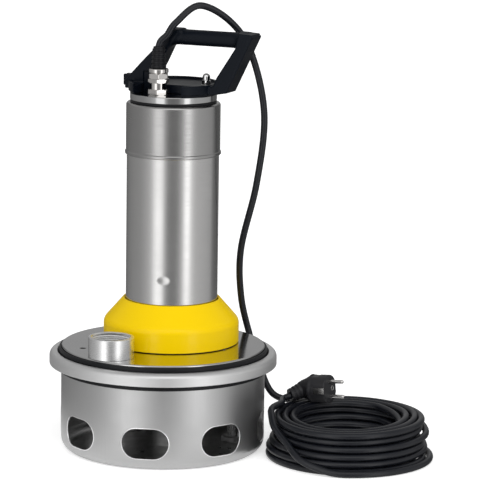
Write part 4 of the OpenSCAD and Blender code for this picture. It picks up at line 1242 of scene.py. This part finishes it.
camera_data = bpy.data.cameras.new("camera")
camera_data.sensor_width = 36.0
camera_data.lens = 221.2
camera_data.clip_end = 100.0
camera = bpy.data.objects.new("camera", camera_data)
scene.collection.objects.link(camera)
camera.matrix_world = (Matrix.Translation((1.5245, -3.3001, 0.9359))
                       @ Matrix.Rotation(math.radians(VIEW_YAW), 4, "Z")
                       @ Matrix.Rotation(math.radians(90 - VIEW_PITCH), 4, "X")
                       @ Matrix.Rotation(math.radians(VIEW_ROLL), 4, "Z"))
scene.camera = camera

# Studio surroundings by direction round the object, 0 facing the camera, and their brightness:
# two bright panels either side of a dim front, and darker grey walls behind.
PANELS = [(-180, 0.40), (-168, 0.36), (-158, 0.14), (-135, 0.28), (-110, 0.36), (-85, 0.40), (-62, 0.56),
          (-48, 0.80), (-43, 1.70), (-24, 1.70), (-20, 0.70), (-12, 0.30), (0, 0.26), (14, 0.30), (28, 0.75),
          (33, 1.95), (43, 1.95), (48, 0.95), (60, 0.66), (85, 0.60), (112, 0.50), (122, 0.20), (150, 0.12),
          (168, 0.34), (180, 0.38)]
OVERHEAD = (0.45, 1.35)       # straight up and behind, then above the front


def surroundings():
    world = bpy.data.worlds.new("studio")
    scene.world = world
    world.use_nodes = True
    tree = world.node_tree
    tree.nodes.clear()
    n = Nodes(tree)
    dx, dy, up = n.split(n.new("ShaderNodeTexCoord").outputs["Generated"])
    towards = math.radians(VIEW_YAW - 90)
    ahead = math.cos(towards)
    aside = math.sin(towards)
    x = n.maths("ADD", n.maths("MULTIPLY", dx, ahead), n.maths("MULTIPLY", dy, aside))
    y = n.maths("SUBTRACT", n.maths("MULTIPLY", dy, ahead), n.maths("MULTIPLY", dx, aside))
    turn = n.maths("ADD", n.maths("DIVIDE", n.maths("ARCTAN2", y, x), TAU), 0.5)
    panels = n.new("ShaderNodeValToRGB")
    stops = panels.color_ramp.elements
    stops.remove(stops[1])
    for i, (angle, level) in enumerate(PANELS):
        stop = stops[0] if i == 0 else stops.new((angle + 180) / 360)
        stop.color = (level / 2, level / 2, level / 2, 1)
    n.feed(panels.inputs[0], turn)
    # higher up, a broad panel leans over the front and the ceiling behind it is darker
    smooth = {"interpolation_type": "SMOOTHSTEP"}
    height = n.ramp(up, (0.25, 0.5), (0.0, 1.0), **smooth)
    above = n.ramp(x, (0.30, 0.62), (OVERHEAD[0] / 2, OVERHEAD[1] / 2), **smooth)
    lit = n.new("ShaderNodeBackground")
    n.feed(lit.inputs[0], n.mix(height, panels.outputs[0], above))
    lit.inputs[1].default_value = 2.0
    seen = n.new("ShaderNodeBackground")
    seen.inputs[0].default_value = (1, 1, 1, 1)
    camera_ray = n.new("ShaderNodeLightPath").outputs["Is Camera Ray"]
    n.choose(camera_ray, lit.outputs[0], seen.outputs[0], n.new("ShaderNodeOutputWorld"))


surroundings()


def floor_finish():
    """Pale floor: soft contact shadows near the object, near white to the camera."""
    f = Finish("floor_pale")
    f.shader.inputs["Base Color"].default_value = (0.86, 0.86, 0.86, 1)
    f.shader.inputs["Roughness"].default_value = 0.9
    f.shader.inputs["Specular IOR Level"].default_value = 0.1
    rays = f.new("ShaderNodeLightPath").outputs
    seen = f.maths("MULTIPLY_ADD", rays["Is Glossy Ray"], 0.5, rays["Is Camera Ray"])
    f.shader.inputs["Emission Color"].default_value = (1, 1, 1, 1)
    f.feed(f.shader.inputs["Emission Strength"], f.maths("MULTIPLY", seen, 0.55))
    # away from the object shiny metal looks past the floor, at the panels of the studio
    away = f.new("ShaderNodeVectorMath", operation="LENGTH")
    f.feed(away.inputs[0], f.place)
    far = f.ramp(away.outputs["Value"], (0.17, 0.34), (0.0, 1.0))
    unseen = f.maths("MULTIPLY", far, rays["Is Glossy Ray"])
    clear = f.new("ShaderNodeBsdfTransparent").outputs[0]
    f.choose(unseen, f.shader.outputs[0], clear, f.tree.nodes["Material Output"])
    return f.material


def floor():
    reach = 40.0
    corners = [(x * reach, y * reach, 0) for x, y in ((-1, -1), (1, -1), (1, 1), (-1, 1))]
    mesh = bpy.data.meshes.new("floor")
    mesh.from_pydata(corners, [], [(0, 1, 2, 3)])
    obj = bpy.data.objects.new("floor", mesh)
    obj.location.z = -0.0002
    obj.data.materials.append(floor_finish())
    scene.collection.objects.link(obj)


floor()


def fill_light():
    """Lifts paint and rubber from the camera's side without a mark on the polished metal."""
    data = bpy.data.lights.new("fill", "SUN")
    data.energy = 0.95
    data.angle = math.radians(40)
    lamp = bpy.data.objects.new("fill", data)
    lamp.rotation_euler = (math.radians(52), 0, math.radians(VIEW_YAW + 12))
    lamp.visible_glossy = False
    scene.collection.objects.link(lamp)


fill_light()
